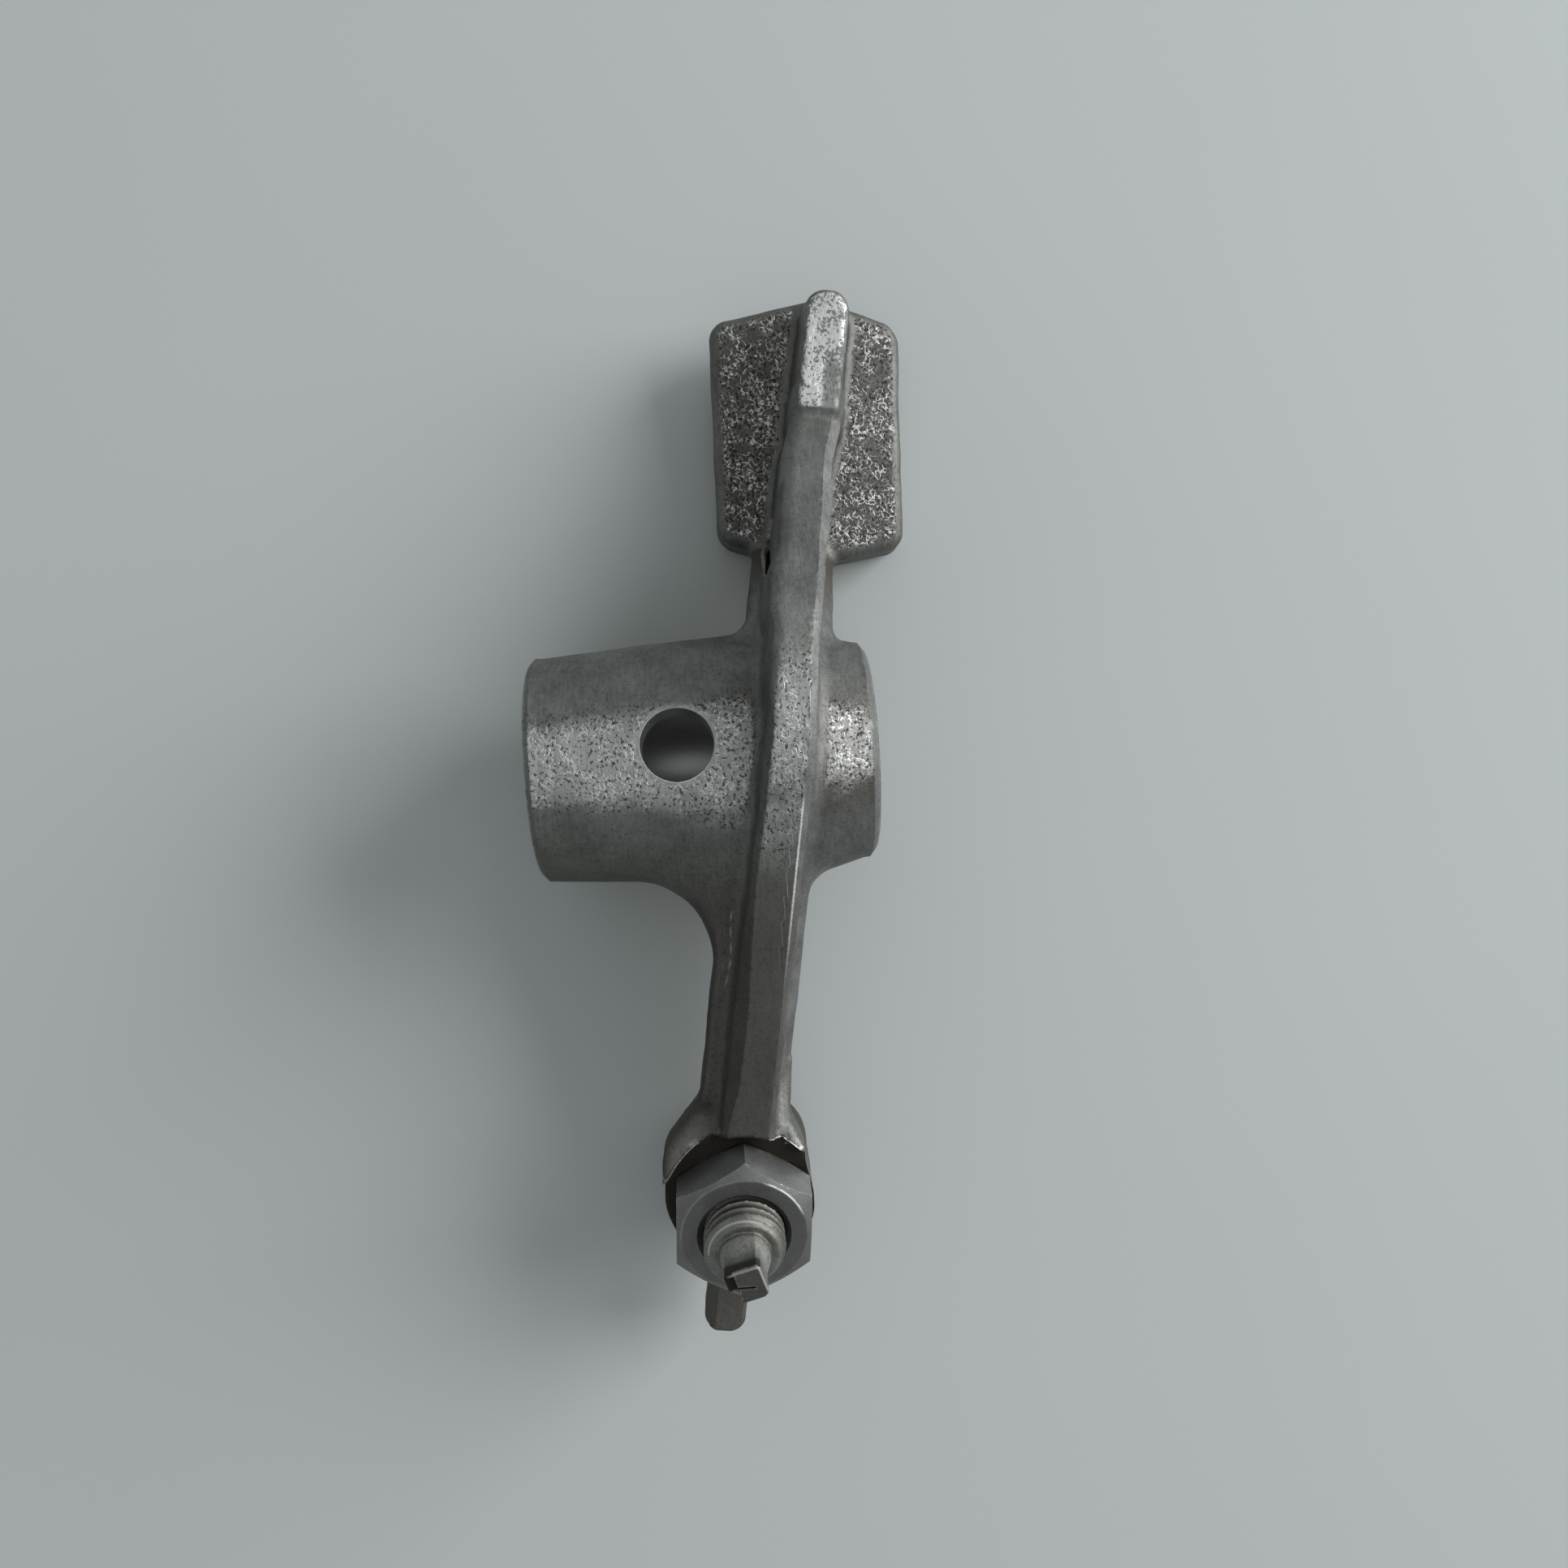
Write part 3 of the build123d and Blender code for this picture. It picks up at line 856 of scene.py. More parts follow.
@dataclass
class ForgedArm(SkinnedPiece):
    """The one-piece forging: boss, T-section arm, slipper pad and valve end."""

    NAME = "forged_arm"
    NODE = "rocker_arm"
    BODY = "arm"
    SLOT = "forged_steel"
    SHARP_DEGREES = 34
    MARGIN = 0.9

    pitch: float = 0.272
    boss_length: float = 25.2
    boss_left: float = 8.45
    boss_right: float = 8.1
    boss_root: float = 9.7
    boss_rim: float = 0.5
    bore: float = 6.0
    bore_rim: float = 0.3
    oil_hole: float = 2.6
    oil_hole_x: float = -1.7
    oil_hole_tilt: float = 6.5
    offset: float = 6.05
    lean: float = 9.3
    web_half: float = 3.32
    web_shift: float = -0.53
    web_round: float = 0.8
    web_end: float = 17.5
    rib_half: float = 2.0
    rib_draft: float = 1.2
    rib_bow: float = -0.43
    rib_bow_reach: tuple[float, ...] = (0, 7, 22, 26)
    rib_swell: float = 0.4
    rib_swell_reach: tuple[float, ...] = (8, 10, 12.5, 14.5)
    rib_softens: tuple[float, float] = (0, 6)
    rib_round: float = 1.1
    rib_end: float = 27.8
    pad_half: float = 7.64
    pad_centre: tuple[float, float] = (9.95, 25.925)
    pad_side_lean: float = 1.3
    pad_lean: float = 6.1
    pad_offset: float = 7.5
    pad_reach: tuple[float, float] = (15.4, 36.45)
    pad_levels: tuple[float, float] = (-5.9, -3.4)
    pad_end_draft: float = 14.0
    pad_back_draft: float = 6.0
    pad_round: float = 0.9
    pad_corner: float = 1.3
    contact_radius: float = 30.0
    contact_low: tuple[float, float] = (21.8, -10.3)
    contact_round: float = 0.25
    land_reach: tuple[float, float] = (26.1, 35.5)
    land_half: float = 1.7
    land_levels: tuple[float, float] = (1.7, 1.3)
    land_draft: float = 4.0
    land_corners: tuple[float, float] = (0.5, 1.53)
    land_round: float = 0.45
    valve_station: float = -34.52
    boss_half: float = 5.5
    boss_depth: float = 9.2
    boss_foot_bevel: float = 0.7
    shoulder_start: float = -23.0
    shoulder_end: float = -36.9
    shoulder_corner: float = 2.6
    shoulder_floor: float = -2.6
    shoulder_round: float = 0.7
    seat_radius: float = 6.7
    hole_radius: float = 3.05
    finger_end: float = 45.4
    finger_start: float = 36.0
    finger_half: float = 1.625
    finger_shift: float = -0.17
    finger_corner: float = 1.3
    finger_levels: tuple[float, float] = (-6.6, -2.5)
    finger_bevel: float = 0.3
    finger_facet: float = 0.9
    # Fillets: the boss's pair holds the valve side and the pad side
    left_blend: tuple[float, float] = (6.5, 1.2)
    right_blend: tuple[float, float] = (1.6, 0.8)
    blend_along: float = 4.0
    blend_across: float = 2.0
    rib_fillet: float = 1.1
    valve_blend: float = 0.8
    pad_blend: float = 0.7
    finger_blend: float = 0.5
    lap_radius: float = 0.3
    lap_blend: float = 0.2
    wear_reach: tuple[float, float] = (1.1, 0.45)
    skin_seed: int = 7
    skin_waves: int = 4
    skin_depth: float = 0.03
    skin_inset: float = 0.01
    # How far from a nominal face a mark still counts as on it
    cut_reach: float = 0.04
    face_reach: float = 0.3
    seat_reach: float = 0.1
    rim_reach: float = 0.7
    # The shaded patch on the left flank: its lowest level, half its width and its end along the arm
    shade_level: float = -2.0
    shade_half: float = 8.0
    shade_end: float = 20.0
    pad_top: float = -2.0
    crest_level: float = 8.0
    scar_shift: float = -2.7
    # Painted glint lines and the scar line: turn round the seat in degrees, and stretches along the arm
    rim_turns: tuple[float, ...] = (42, 54, 66, 74)
    rim_faint: tuple[float, float] = (108, 118)
    crest_line: tuple[float, ...] = (-18, -9, -4, -2.5)
    scar_line: tuple[float, ...] = (-18.5, -17, -12, -10.5)

    WEB_TOP: ClassVar[Corners] = [
        (-36.0, 4.4, 0), (-27.6, 2.0, 1.2), (-25.6, 0.35, 3), (-8.9, 4.0, 4), (8.9, 4.0, 4), (17.6, -7.2, 0),
    ]
    WEB_UNDER: ClassVar[Corners] = [(-36.0, -5.7, 0), (-8.9, -7.4, 6), (8.9, -7.4, 6), (18.0, -9.2, 0)]
    RIB_CREST: ClassVar[Corners] = [
        (-36.0, 2.8, 0), (-27.9, 3.5, 6), (5.0, 13.6, 18), (26.1, 1.1, 0.6), (28.0, 1.1, 0),
    ]
    LEFT_SHOULDER: ClassVar[Corners] = [(-36.0, 5.4, 0), (-30.45, 6.3, 2.6), (-26.5, 3.8, 3), (-22.0, 3.8, 0)]
    RIGHT_SHOULDER: ClassVar[Corners] = [
        (-37, 4.6, 0), (-33, 5.05, 3), (-29.3, 4.5, 3), (-27, 3.15, 2), (-22, 2.9, 0),
    ]
    LEFT_BEVEL: ClassVar[Table] = [
        (-28, 0.45), (-24.5, 0.9), (-20, 0.95), (-10, 0.45), (0, 0.5), (20, 0.55), (25.5, 0.9),
    ]
    RIGHT_BEVEL: ClassVar[Table] = [(-28, 0.4), (-10, 0.5), (0, 0.55), (14, 0.55), (20, 0.65), (25.5, 0.8)]
    LAP_BOX: ClassVar[Corners] = [(9, -5, -8), (23, 0, 3)]
    LAP_LIP: ClassVar[Corners] = [
        (21.0, -2.3, -5.2), (19.5, -2.45, -4.9), (18.2, -2.65, -4.6), (16.9, -2.7, -4.1), (15.6, -2.85, -3.3),
        (14.6, -2.75, -2.4), (13.5, -2.6, -1.3), (12.2, -2.55, 0.2),
    ]
    LAP_SEAM: ClassVar[Corners] = [
        (18.2, -2.15, -4.2), (16.6, -2.25, -3.6), (15.2, -2.35, -2.9), (13.9, -2.25, -1.4),
    ]
    SKIN_WAVES: ClassVar[Table] = [(6.0, 0.03), (3.4, 0.02), (1.9, 0.012)]

    def stations(self, points: Array) -> tuple[Array, Array, Array]:
        """Turns points into places along the arm.

        Args:
            points: Points on the part.

        Returns:
            Distance along the arm, across it to the right, and level.
        """
        x, y, z = points.T
        return *turned(y, x - self.offset, self.lean), z

    def boss(self, points: Array) -> Array:
        """Measures to the pivot boss: a cone either side of the arm, with machined ends.

        Args:
            points: Points on the part.

        Returns:
            Distance, negative inside.
        """
        x, y, z = points.T
        radius = np.hypot(y, z)
        half = self.boss_length / 2
        wall = np.full(x.shape, -np.inf)
        for side, end in ((Side.LEFT, self.boss_left), (Side.RIGHT, self.boss_right)):
            taper = (self.boss_root - end) / (half - side.value * self.offset)
            cone = self.boss_root - taper * side.value * (x - self.offset)
            wall = np.maximum(wall, (radius - cone) / math.sqrt(1 + taper * taper))
        return bevel_cut(wall, np.abs(x) - half, self.boss_rim)

    def web(self, points: Array) -> Array:
        """Measures to the web, the wide foot of the T.

        Args:
            points: Points on the part.

        Returns:
            Distance, negative inside.
        """
        along, across, z = self.stations(points)
        flank = np.abs(across - self.web_shift) - self.web_half
        body = round_cut(flank, above_profile(along, z, self.WEB_TOP), self.web_round)
        body = round_cut(body, -above_profile(along, z, self.WEB_UNDER), self.web_round)
        return shared(body, along - self.web_end, self.valve_station - along)

    def rib(self, points: Array) -> Array:
        """Measures to the rib, the stem of the T, with its arched crest and bevelled edges.

        Args:
            points: Points on the part.

        Returns:
            Distance, negative inside.
        """
        along, across, z = self.stations(points)
        beside = across - self.rib_bow * band(along, *self.rib_bow_reach)
        on_left = beside < 0
        swell = self.rib_swell * on_left * band(along, *self.rib_swell_reach)
        draft = math.radians(self.rib_draft)
        flank = (np.abs(beside) - self.rib_half - swell + z * math.tan(draft)) * math.cos(draft)
        over = above_profile(along, z, self.RIB_CREST)
        left, right = (np.interp(along, *zip(*bevels)) for bevels in (self.LEFT_BEVEL, self.RIGHT_BEVEL))
        bevelled = bevel_cut(flank, over, np.where(on_left, left, right))
        softness = ramp(along, *self.rib_softens) * on_left
        body = bevelled * (1 - softness) + round_cut(flank, over, self.rib_round) * softness
        return shared(body, along - self.rib_end, self.valve_station - along, self.finger_levels[0] - z)

    def pad(self, points: Array) -> Array:
        """Measures to the slipper pad: drafted, rounded, and ground to an arc underneath.

        Args:
            points: Points on the part.

        Returns:
            Distance, negative inside.
        """
        x, y, z = points.T
        start, end = self.pad_reach
        first, last = self.pad_levels
        reach, beside = turned(y, x - self.pad_offset, self.pad_lean)
        beside = np.abs(beside)
        inner, outer = (turned(gap, beside, self.pad_end_draft)[0] for gap in (start - reach, reach - end))
        _, sideways = turned(y - self.pad_centre[1], x - self.pad_centre[0], self.pad_side_lean)
        plan = round_cut(np.abs(sideways) - self.pad_half, np.maximum(inner, outer), self.pad_corner)
        draft = math.radians(self.pad_back_draft)
        back = first + (last - first) / (end - start) * (reach - start) - beside * math.tan(draft)
        top = round_cut(plan, (z - back) * math.cos(draft), self.pad_round)
        centre = self.contact_low[1] + self.contact_radius
        contact = np.hypot(y - self.contact_low[0], z - centre) - self.contact_radius
        return round_cut(top, contact, self.contact_round)

    def land(self, points: Array) -> Array:
        """Measures to the ground land on the rib's tip.

        Args:
            points: Points on the part.

        Returns:
            Distance, negative inside.
        """
        along, across, z = self.stations(points)
        start, end = self.land_reach
        middle, half = (start + end) / 2, (end - start) / 2
        share = (along - start) / (end - start)
        over = z - (self.land_levels[0] + share * (self.land_levels[1] - self.land_levels[0]))
        spread = np.maximum(-over, 0) * math.tan(math.radians(self.land_draft))
        corner = np.where(along > middle, self.land_corners[1], self.land_corners[0])
        ends, sides = np.abs(along - middle) - half - spread, np.abs(across) - self.land_half - spread
        body = round_cut(rounded_slot(ends, sides, corner), over, self.land_round)
        return np.maximum(body, self.finger_levels[0] - z)

    def shoulder(self, points: Array) -> Array:
        """Measures to the shoulder, where the web flares and rises to meet the valve boss.

        Args:
            points: Points on the part.

        Returns:
            Distance, negative inside.
        """
        along, across, z = self.stations(points)
        left_edge = above_profile(along, -across, self.LEFT_SHOULDER)
        right_edge = above_profile(along, across, self.RIGHT_SHOULDER)
        plan = round_cut(np.maximum(left_edge, right_edge), self.shoulder_end - along, self.shoulder_corner)
        flare = round_cut(plan, above_profile(along, z, self.WEB_TOP), self.shoulder_round)
        return shared(flare, along - self.shoulder_start, self.shoulder_floor - z)

    def valve_boss(self, points: Array) -> Array:
        """Measures to the boss round the screw.

        Args:
            points: Points on the part.

        Returns:
            Distance, negative inside.
        """
        _, _, height, radius = self.axis.local(points)
        boss = bevel_cut(radius - self.boss_half, -self.boss_depth - height, self.boss_foot_bevel)
        return np.maximum(boss, height)

    def finger(self, points: Array) -> Array:
        """Measures to the finger beyond the valve boss.

        Args:
            points: Points on the part.

        Returns:
            Distance, negative inside.
        """
        along, across, z = self.stations(points)
        beside = across - self.finger_shift
        low, high = self.finger_levels
        sides = np.abs(beside) - self.finger_half
        outline = rounded_slot(-along - self.finger_end, sides, self.finger_corner)
        body = bevel_cut(outline, z - high, self.finger_bevel)
        facet = (z - high - beside - self.finger_half + self.finger_facet) * math.sqrt(0.5)
        return shared(body, facet, low - z, along + self.finger_start)

    def lapped(self, body: Array, points: Array) -> Array:
        """Folds the lap over at the rib's left root: a raised lip with an open seam beside it.

        Args:
            body: Distance to the arm without the lap.
            points: Points on the part.

        Returns:
            Distance to the arm with the lap.
        """
        places = np.stack(self.stations(points), 1)
        low, high = self.LAP_BOX
        near = np.all((places > low) & (places < high), 1)
        lip = line_distance(places[near], self.LAP_LIP) - self.lap_radius
        seam = line_distance(places[near], self.LAP_SEAM) - self.lap_radius
        folded = body.copy()
        folded[near] = np.maximum(round_union(body[near], lip, self.lap_blend), -seam)
        return folded

    def forging(self, points: Array) -> Array:
        """Measures to the forging as it leaves the dies, before any machining.

        Args:
            points: Points on the part.

        Returns:
            Distance, negative inside.
        """
        along, across, _ = self.stations(points)
        pad_side = ramp(along, -self.blend_along, self.blend_along)
        left, right = (valve + (pad - valve) * pad_side for valve, pad in (self.left_blend, self.right_blend))
        blend = left + (right - left) * ramp(across, -self.blend_across, self.blend_across)
        body = round_union(self.boss(points), np.minimum(self.web(points), self.shoulder(points)), blend)
        body = round_union(body, self.valve_boss(points), self.valve_blend)
        body = round_union(body, self.rib(points), self.rib_fillet)
        pad = round_union(self.pad(points), self.land(points), self.pad_blend)
        body = self.lapped(round_union(body, pad, self.pad_blend), points)
        return round_union(body, self.finger(points), self.finger_blend)

    def oil_wall(self, points: Array) -> tuple[Array, Array]:
        """Measures to the wall of the oil hole.

        Args:
            points: Points on the part.

        Returns:
            Distance, negative inside the hole, and each point's place beside its axis.
        """
        x, y, z = points.T
        _, beside = turned(z, y, self.oil_hole_tilt)
        return np.hypot(x - self.oil_hole_x, beside) - self.oil_hole, beside

    def cuts(self, points: Array) -> Array:
        """Measures to what machining takes away: bore, oil hole, nut seat and tapped hole.

        Args:
            points: Points on the part.

        Returns:
            Distance, negative where metal is taken away.
        """
        x, y, z = points.T
        mouth = np.maximum(np.abs(x) - self.boss_length / 2 + self.bore_rim, 0)
        bore = np.hypot(y, z) - self.bore - mouth
        oil = np.maximum(self.oil_wall(points)[0], -z)
        _, _, height, radius = self.axis.local(points)
        seat = shared(radius - self.seat_radius, -height, height - self.boss_depth)
        tapped = np.maximum(radius - self.hole_radius, np.abs(height + self.boss_depth / 2) - self.boss_depth)
        return np.minimum(np.minimum(bore, oil), np.minimum(seat, tapped))

    def unevenness(self, points: Array) -> Array:
        """Gives the slight waviness of the forged skin, which the machined boss ends don't have.

        Args:
            points: Points on the part.

        Returns:
            How far the skin lies below its nominal place.
        """
        rng = np.random.default_rng(self.skin_seed)
        wave = np.full(len(points), self.skin_depth)
        for length, height in self.SKIN_WAVES:
            for _ in range(self.skin_waves):
                direction = rng.normal(size=3)
                direction *= 2 * math.pi / length / np.linalg.norm(direction)
                wave += height * np.sin(points @ direction + rng.uniform(0, 2 * math.pi)) / 2
        x, y, _ = points.T
        gap = np.abs(x) - self.boss_length / 2
        machined = ramp(gap, -1, -0.3) * (np.abs(y) < self.boss_root)
        return wave * (1 - machined) + self.skin_inset

    def distance(self, points: Array) -> Array:
        """Measures to the finished arm, negative inside."""
        return np.maximum(self.forging(points) + self.unevenness(points), -self.cuts(points))

    def edge_glints_and_scars(self, points: Array) -> dict[str, Array]:
        """Finds the thin bright lines: painted glints on the seat rim, the oil hole's edge and the rib's
        right edge, and real scars.

        Args:
            points: Points on the part.

        Returns:
            How far each point lies to one side of its line, and how bright the line is there.
        """
        along, across, z = self.stations(points)
        right, forward, height, radius = self.axis.local(points)
        turn = np.degrees(np.arctan2(forward, right))
        top_gap = above_profile(along, z, self.WEB_TOP)
        # Painted glint on part of the seat's rim
        lit = band(turn, *self.rim_turns) + 0.3 * ramp(turn, *self.rim_faint)
        rim = (top_gap > -0.8) * (height > 0) * lit
        oil_gap, beside = self.oil_wall(points)
        # Painted glint on one side of the oil hole's edge
        hole_glint = (z > 7) * ramp(self.oil_hole_x - points[:, 0] - beside, -1.2, 1.0)
        draft = math.tan(math.radians(self.rib_draft))
        edge = self.rib_half - np.interp(along, *zip(*self.RIGHT_BEVEL)) - z * draft
        scar = (z < 5) * band(along, *self.scar_line) * (0.12 + 0.12 * np.sin(along * 5))
        lines = (
            (radius - self.seat_radius + np.minimum(0, top_gap + LINE_DROP), rim),
            (oil_gap + np.minimum(0, self.boss(points) + LINE_DROP), hole_glint),
            # Painted glint along the rib's right bevel
            (across - edge, (z > 4) * band(along, *self.crest_line) * 0.8),
            (across - self.scar_shift + 0.15 * np.sin(along * 0.9), scar),
        )
        offset, strength = np.ones(len(points)), np.zeros(len(points))
        for near, share in lines:
            chosen = (share > 0) & (np.abs(near) < LINE_NEAR)
            offset, strength = np.where(chosen, near, offset), np.where(chosen, share, strength)
        return {"line_offset": offset + LINE_REACH, "line": strength}

    def rubbed(self, points: Array, up: Array) -> dict[str, Array]:
        """Finds what is worn bright: the pad's back, the boss's top and the rib's crest, where a painted
        highlight is added to the wear.

        Args:
            points: Points on the part.
            up: How far each point faces up, 0 to 1.

        Returns:
            The mark of worn zones and the crest mark, which also carries the crest's painted highlight.
        """
        x, y, z = points.T
        pad_back = (self.pad(points) < self.face_reach) & (z < self.pad_top)
        inside = -self.pad(points - np.array((0, 0, 1.2)))
        pad_back = pad_back * ramp(up, 0.95, 0.985) * ramp(inside, 0.35, 0.85)
        on_boss = (np.abs(self.boss(points)) < self.face_reach) * ramp(up, 0.82, 1.0) * ramp(y, -6, 2)
        on_boss = on_boss * (0.28 + 0.12 * ramp(x, 0, 2) + 0.15 * ramp(-x, 9, 11))
        # The up-facing crest: real wear with a painted highlight
        crest_wear_and_highlight = (z > self.crest_level) * ramp(up, 0.9, 0.99) * band(y, -9, -3, 3, 9)
        return {"rubbed": np.clip(pad_back + on_boss + 0.9 * crest_wear_and_highlight, 0, 1), "crest": np.clip(crest_wear_and_highlight, 0, 1)}

    def marks(self, skin: Skin) -> dict[str, Array]:
        """Finds where the surface is worn, dirty or machined, and where shade, highlights and glints are
        painted.

        Args:
            skin: The arm's surface.

        Returns:
            Named values for each point.
        """
        points = skin.points
        along, across, z = self.stations(points)
        x, y, _ = points.T
        _, _, height, radius = self.axis.local(points)
        up = np.clip(skin.normals[:, 2], 0, 1)
        found = wear(self.distance, skin, *self.wear_reach)
        in_seat = (height > -self.seat_reach) & (radius < self.seat_radius + self.seat_reach)
        bare = (np.abs(self.cuts(points)) < self.cut_reach) & ~in_seat
        on_end = (np.abs(x) > self.boss_length / 2 - 0.05) & (np.hypot(y, z) < self.boss_root)
        found["bare"] = np.maximum(bare, on_end).astype(float)
        by_rim = (height > 0.5) & (np.abs(radius - self.seat_radius) < self.rim_reach)
        found["edge"] = found["edge"] * (1 - 0.85 * by_rim)
        # Painted shade on the left-facing flank and in the nut seat, added to the darkening of hollows
        left_flank_shade = ramp(-skin.normals[:, 0], 0.35, 0.8) * (z > self.shade_level)
        left_flank_shade = left_flank_shade * (np.abs(across) < self.shade_half) * (along < self.shade_end)
        found["hollow_dirt_and_shade"] = shared(found["hollow_dirt_and_shade"], 0.85 * in_seat, 0.6 * left_flank_shade)
        on_land = (along > self.land_reach[0] - 0.2) & (z > 1.0) & (np.abs(across) < self.land_half)
        stain = ramp(across, -0.2, 0.4) * ramp(-along, -31.0, -29.5)
        found["ground"] = on_land * ramp(up, 0.93, 0.99) * (1 - 0.85 * stain)
        found.update(self.rubbed(points, up))
        found.update(self.edge_glints_and_scars(points))
        on_pad = (self.pad(points) < self.face_reach) & (z < self.pad_top)
        # Painted shade for the low mark: darker low down, on the left towards the valve end, in the nut seat
        # and on the top of the boss's right end
        underside_shade = ramp(-z, -3, 5) * (1 - 0.75 * on_pad)
        valve_end_shade = 0.75 * ramp(-along, 4, 14) * (1 - ramp(across, 1.2, 2.4))
        on_boss = np.abs(self.boss(points)) < self.face_reach
        boss_right_shade = 0.75 * ramp(x, 1.5, 4) * on_boss * ramp(up, 0.7, 0.95)
        found["low"] = shared(underside_shade, valve_end_shade, in_seat, boss_right_shade)
        return found

    def material(self) -> bpy.types.Material:
        """Builds the forging's finish."""
        return ForgedSteel().material()


@dataclass
class AdjustingScrew(SkinnedPiece):
    """The adjusting screw: crowned foot, thread, domed root and square drive."""

    NAME = "threaded_screw"
    NODE = "adjusting_screw"
    BODY = "screw"
    SLOT = "screw_steel"
    SHARP_DEGREES = 38

    pitch: float = 0.11
    radius: float = 3.0
    lead: float = 0.75
    depth: float = 0.42
    crest_share: float = 0.125
    flank_share: float = 0.7
    wall_scale: float = 0.6
    runout: float = 1.8
    runout_loss: float = 0.75
    top: float = 5.65
    foot: float = -11.29
    foot_height: float = 1.5
    neck_length: float = 1.4
    neck_radius: float = 2.3
    thread_start: float = 4.2
    crown: float = 5.0
    crown_height: float = 1.0
    end_bevel: float = 0.35
    root_radius: float = 1.85
    root_sink: float = 0.5
    root_blend: float = 0.15
    drive_half: float = 1.325
    drive_height: float = 3.5
    drive_turn: float = 15.5
    drive_corner: float = 1.72
    drive_round: float = 0.12
    drive_blend: float = 0.5
    wear_reach: tuple[float, float] = (0.5, 0.2)
    worn_corner: float = 0.6
    chip: tuple[float, float] = (0.7, -0.05)
    chip_depth: float = 1.2
    recess: tuple[float, float] = (-0.62, -0.3)
    recess_wall: float = 0.14
    step_slope: float = 0.28
    step_shift: float = 0.1
    step_half: float = 0.07
    step_end: float = 0.55
    notch_depth: float = 0.14

    @property
    def end(self) -> float:
        """Gives the height of the drive's end."""
        return self.top + self.drive_height

    def shank(self, points: Array) -> Array:
        """Measures to the threaded shank with its neck and crowned foot.

        Args:
            points: Points on the part.

        Returns:
            Distance, negative inside.
        """
        right, forward, height, radius = self.axis.local(points)
        turn = np.arctan2(forward, right) / (2 * math.pi)
        phase = np.abs((height / self.lead - turn) % 1 - 0.5) * 2
        crest = self.radius - self.depth * np.clip((phase - self.crest_share) / self.flank_share, 0, 1)
        neck_low = self.foot + self.foot_height
        fade = ramp(height, neck_low + self.neck_length, self.foot + self.thread_start)
        fade = fade * (1 - self.runout_loss * ramp(height, self.top - self.runout, self.top))
        wall = (radius - (crest * fade + self.radius * (1 - fade))) * self.wall_scale
        crown = np.hypot(radius, height - self.foot - self.crown) - self.crown
        crown = np.where(height < self.foot + self.crown_height, crown, -np.inf)
        neck = np.abs(height - neck_low - self.neck_length / 2) - self.neck_length / 2
        neck = np.maximum(neck, self.neck_radius - radius)
        return shared(bevel_cut(wall, height - self.top, self.end_bevel), crown, -neck)

    def drive(self, points: Array) -> Array:
        """Measures to the square drive, with its broken quarter, recess and step line.

        Args:
            points: Points on the part.

        Returns:
            Distance, negative inside.
        """
        right, forward, height, radius = self.axis.local(points)
        u, v = turned(right, forward, self.drive_turn)
        corner = np.where((u > 0) & (v < 0), self.worn_corner, self.drive_round)
        square = round_cut(np.abs(u) - self.drive_half, np.abs(v) - self.drive_half, corner)
        square = np.maximum(square, radius - self.drive_corner)
        square = bevel_cut(square, height - self.end, self.drive_round)
        broken = shared(u + self.chip[0], v - self.chip[1], self.end - self.chip_depth - height)
        recess = shared(u - self.recess[0], self.recess[1] - v, v - self.drive_half + self.recess_wall)
        step = np.abs(v + self.step_slope * u + self.step_shift) - self.step_half
        step = np.maximum(step, u - self.step_end)
        shallow = np.maximum(np.minimum(recess, step), self.end - self.notch_depth - height)
        return shared(square, self.top - height, -broken, -shallow)

    def distance(self, points: Array) -> Array:
        """Measures to the screw.

        Args:
            points: Points on the part.

        Returns:
            Distance, negative inside.
        """
        _, _, height, radius = self.axis.local(points)
        dome = np.hypot(radius, height - self.top) - self.root_radius
        dome = np.maximum(dome, self.top - self.root_sink - height)
        body = round_union(self.shank(points), dome, self.root_blend)
        return round_union(body, self.drive(points), self.drive_blend)

    def marks(self, skin: Skin) -> dict[str, Array]:
        """Finds where the screw is worn or dirty, where its end is darker and rougher, and where highlights,
        glints and shade are painted.

        Args:
            skin: The screw's surface.

        Returns:
            Named values for each point.
        """
        right, forward, height, radius = self.axis.local(skin.points)
        u, v = turned(right, forward, self.drive_turn)
        top, end = self.top, self.end
        found = wear(self.distance, skin, *self.wear_reach)
        # Painted highlight on the domed root
        on_dome = band(height, top + 0.1, top + 0.4, top + 1.4, end - 0.8)
        found["bright"] = 0.4 * on_dome * ramp(-radius, -self.radius, -self.radius + 0.4)
        # Darker and rougher at the drive's end
        found["darker_rougher_top"] = ramp(height, end - 0.5, end - 0.1)
        # Painted highlights: along one side of the drive's end, and on the near side of the thread's top rim
        at_end = height > end - 0.3
        end_offset = np.maximum(u, v) - self.drive_half + 0.06
        offset = np.where(at_end, end_offset, radius - self.radius + self.end_bevel)
        found["line_offset"] = np.clip(offset, -1, 1) + LINE_REACH
        rim_line = 0.7 * ramp(np.abs(forward) - 1.2 * right, 0, 2) * (height > top - 0.6) * (forward > 0)
        found["line"] = np.where(at_end, 0.55 * ramp(u + v, 0.0, 0.6), rim_line)
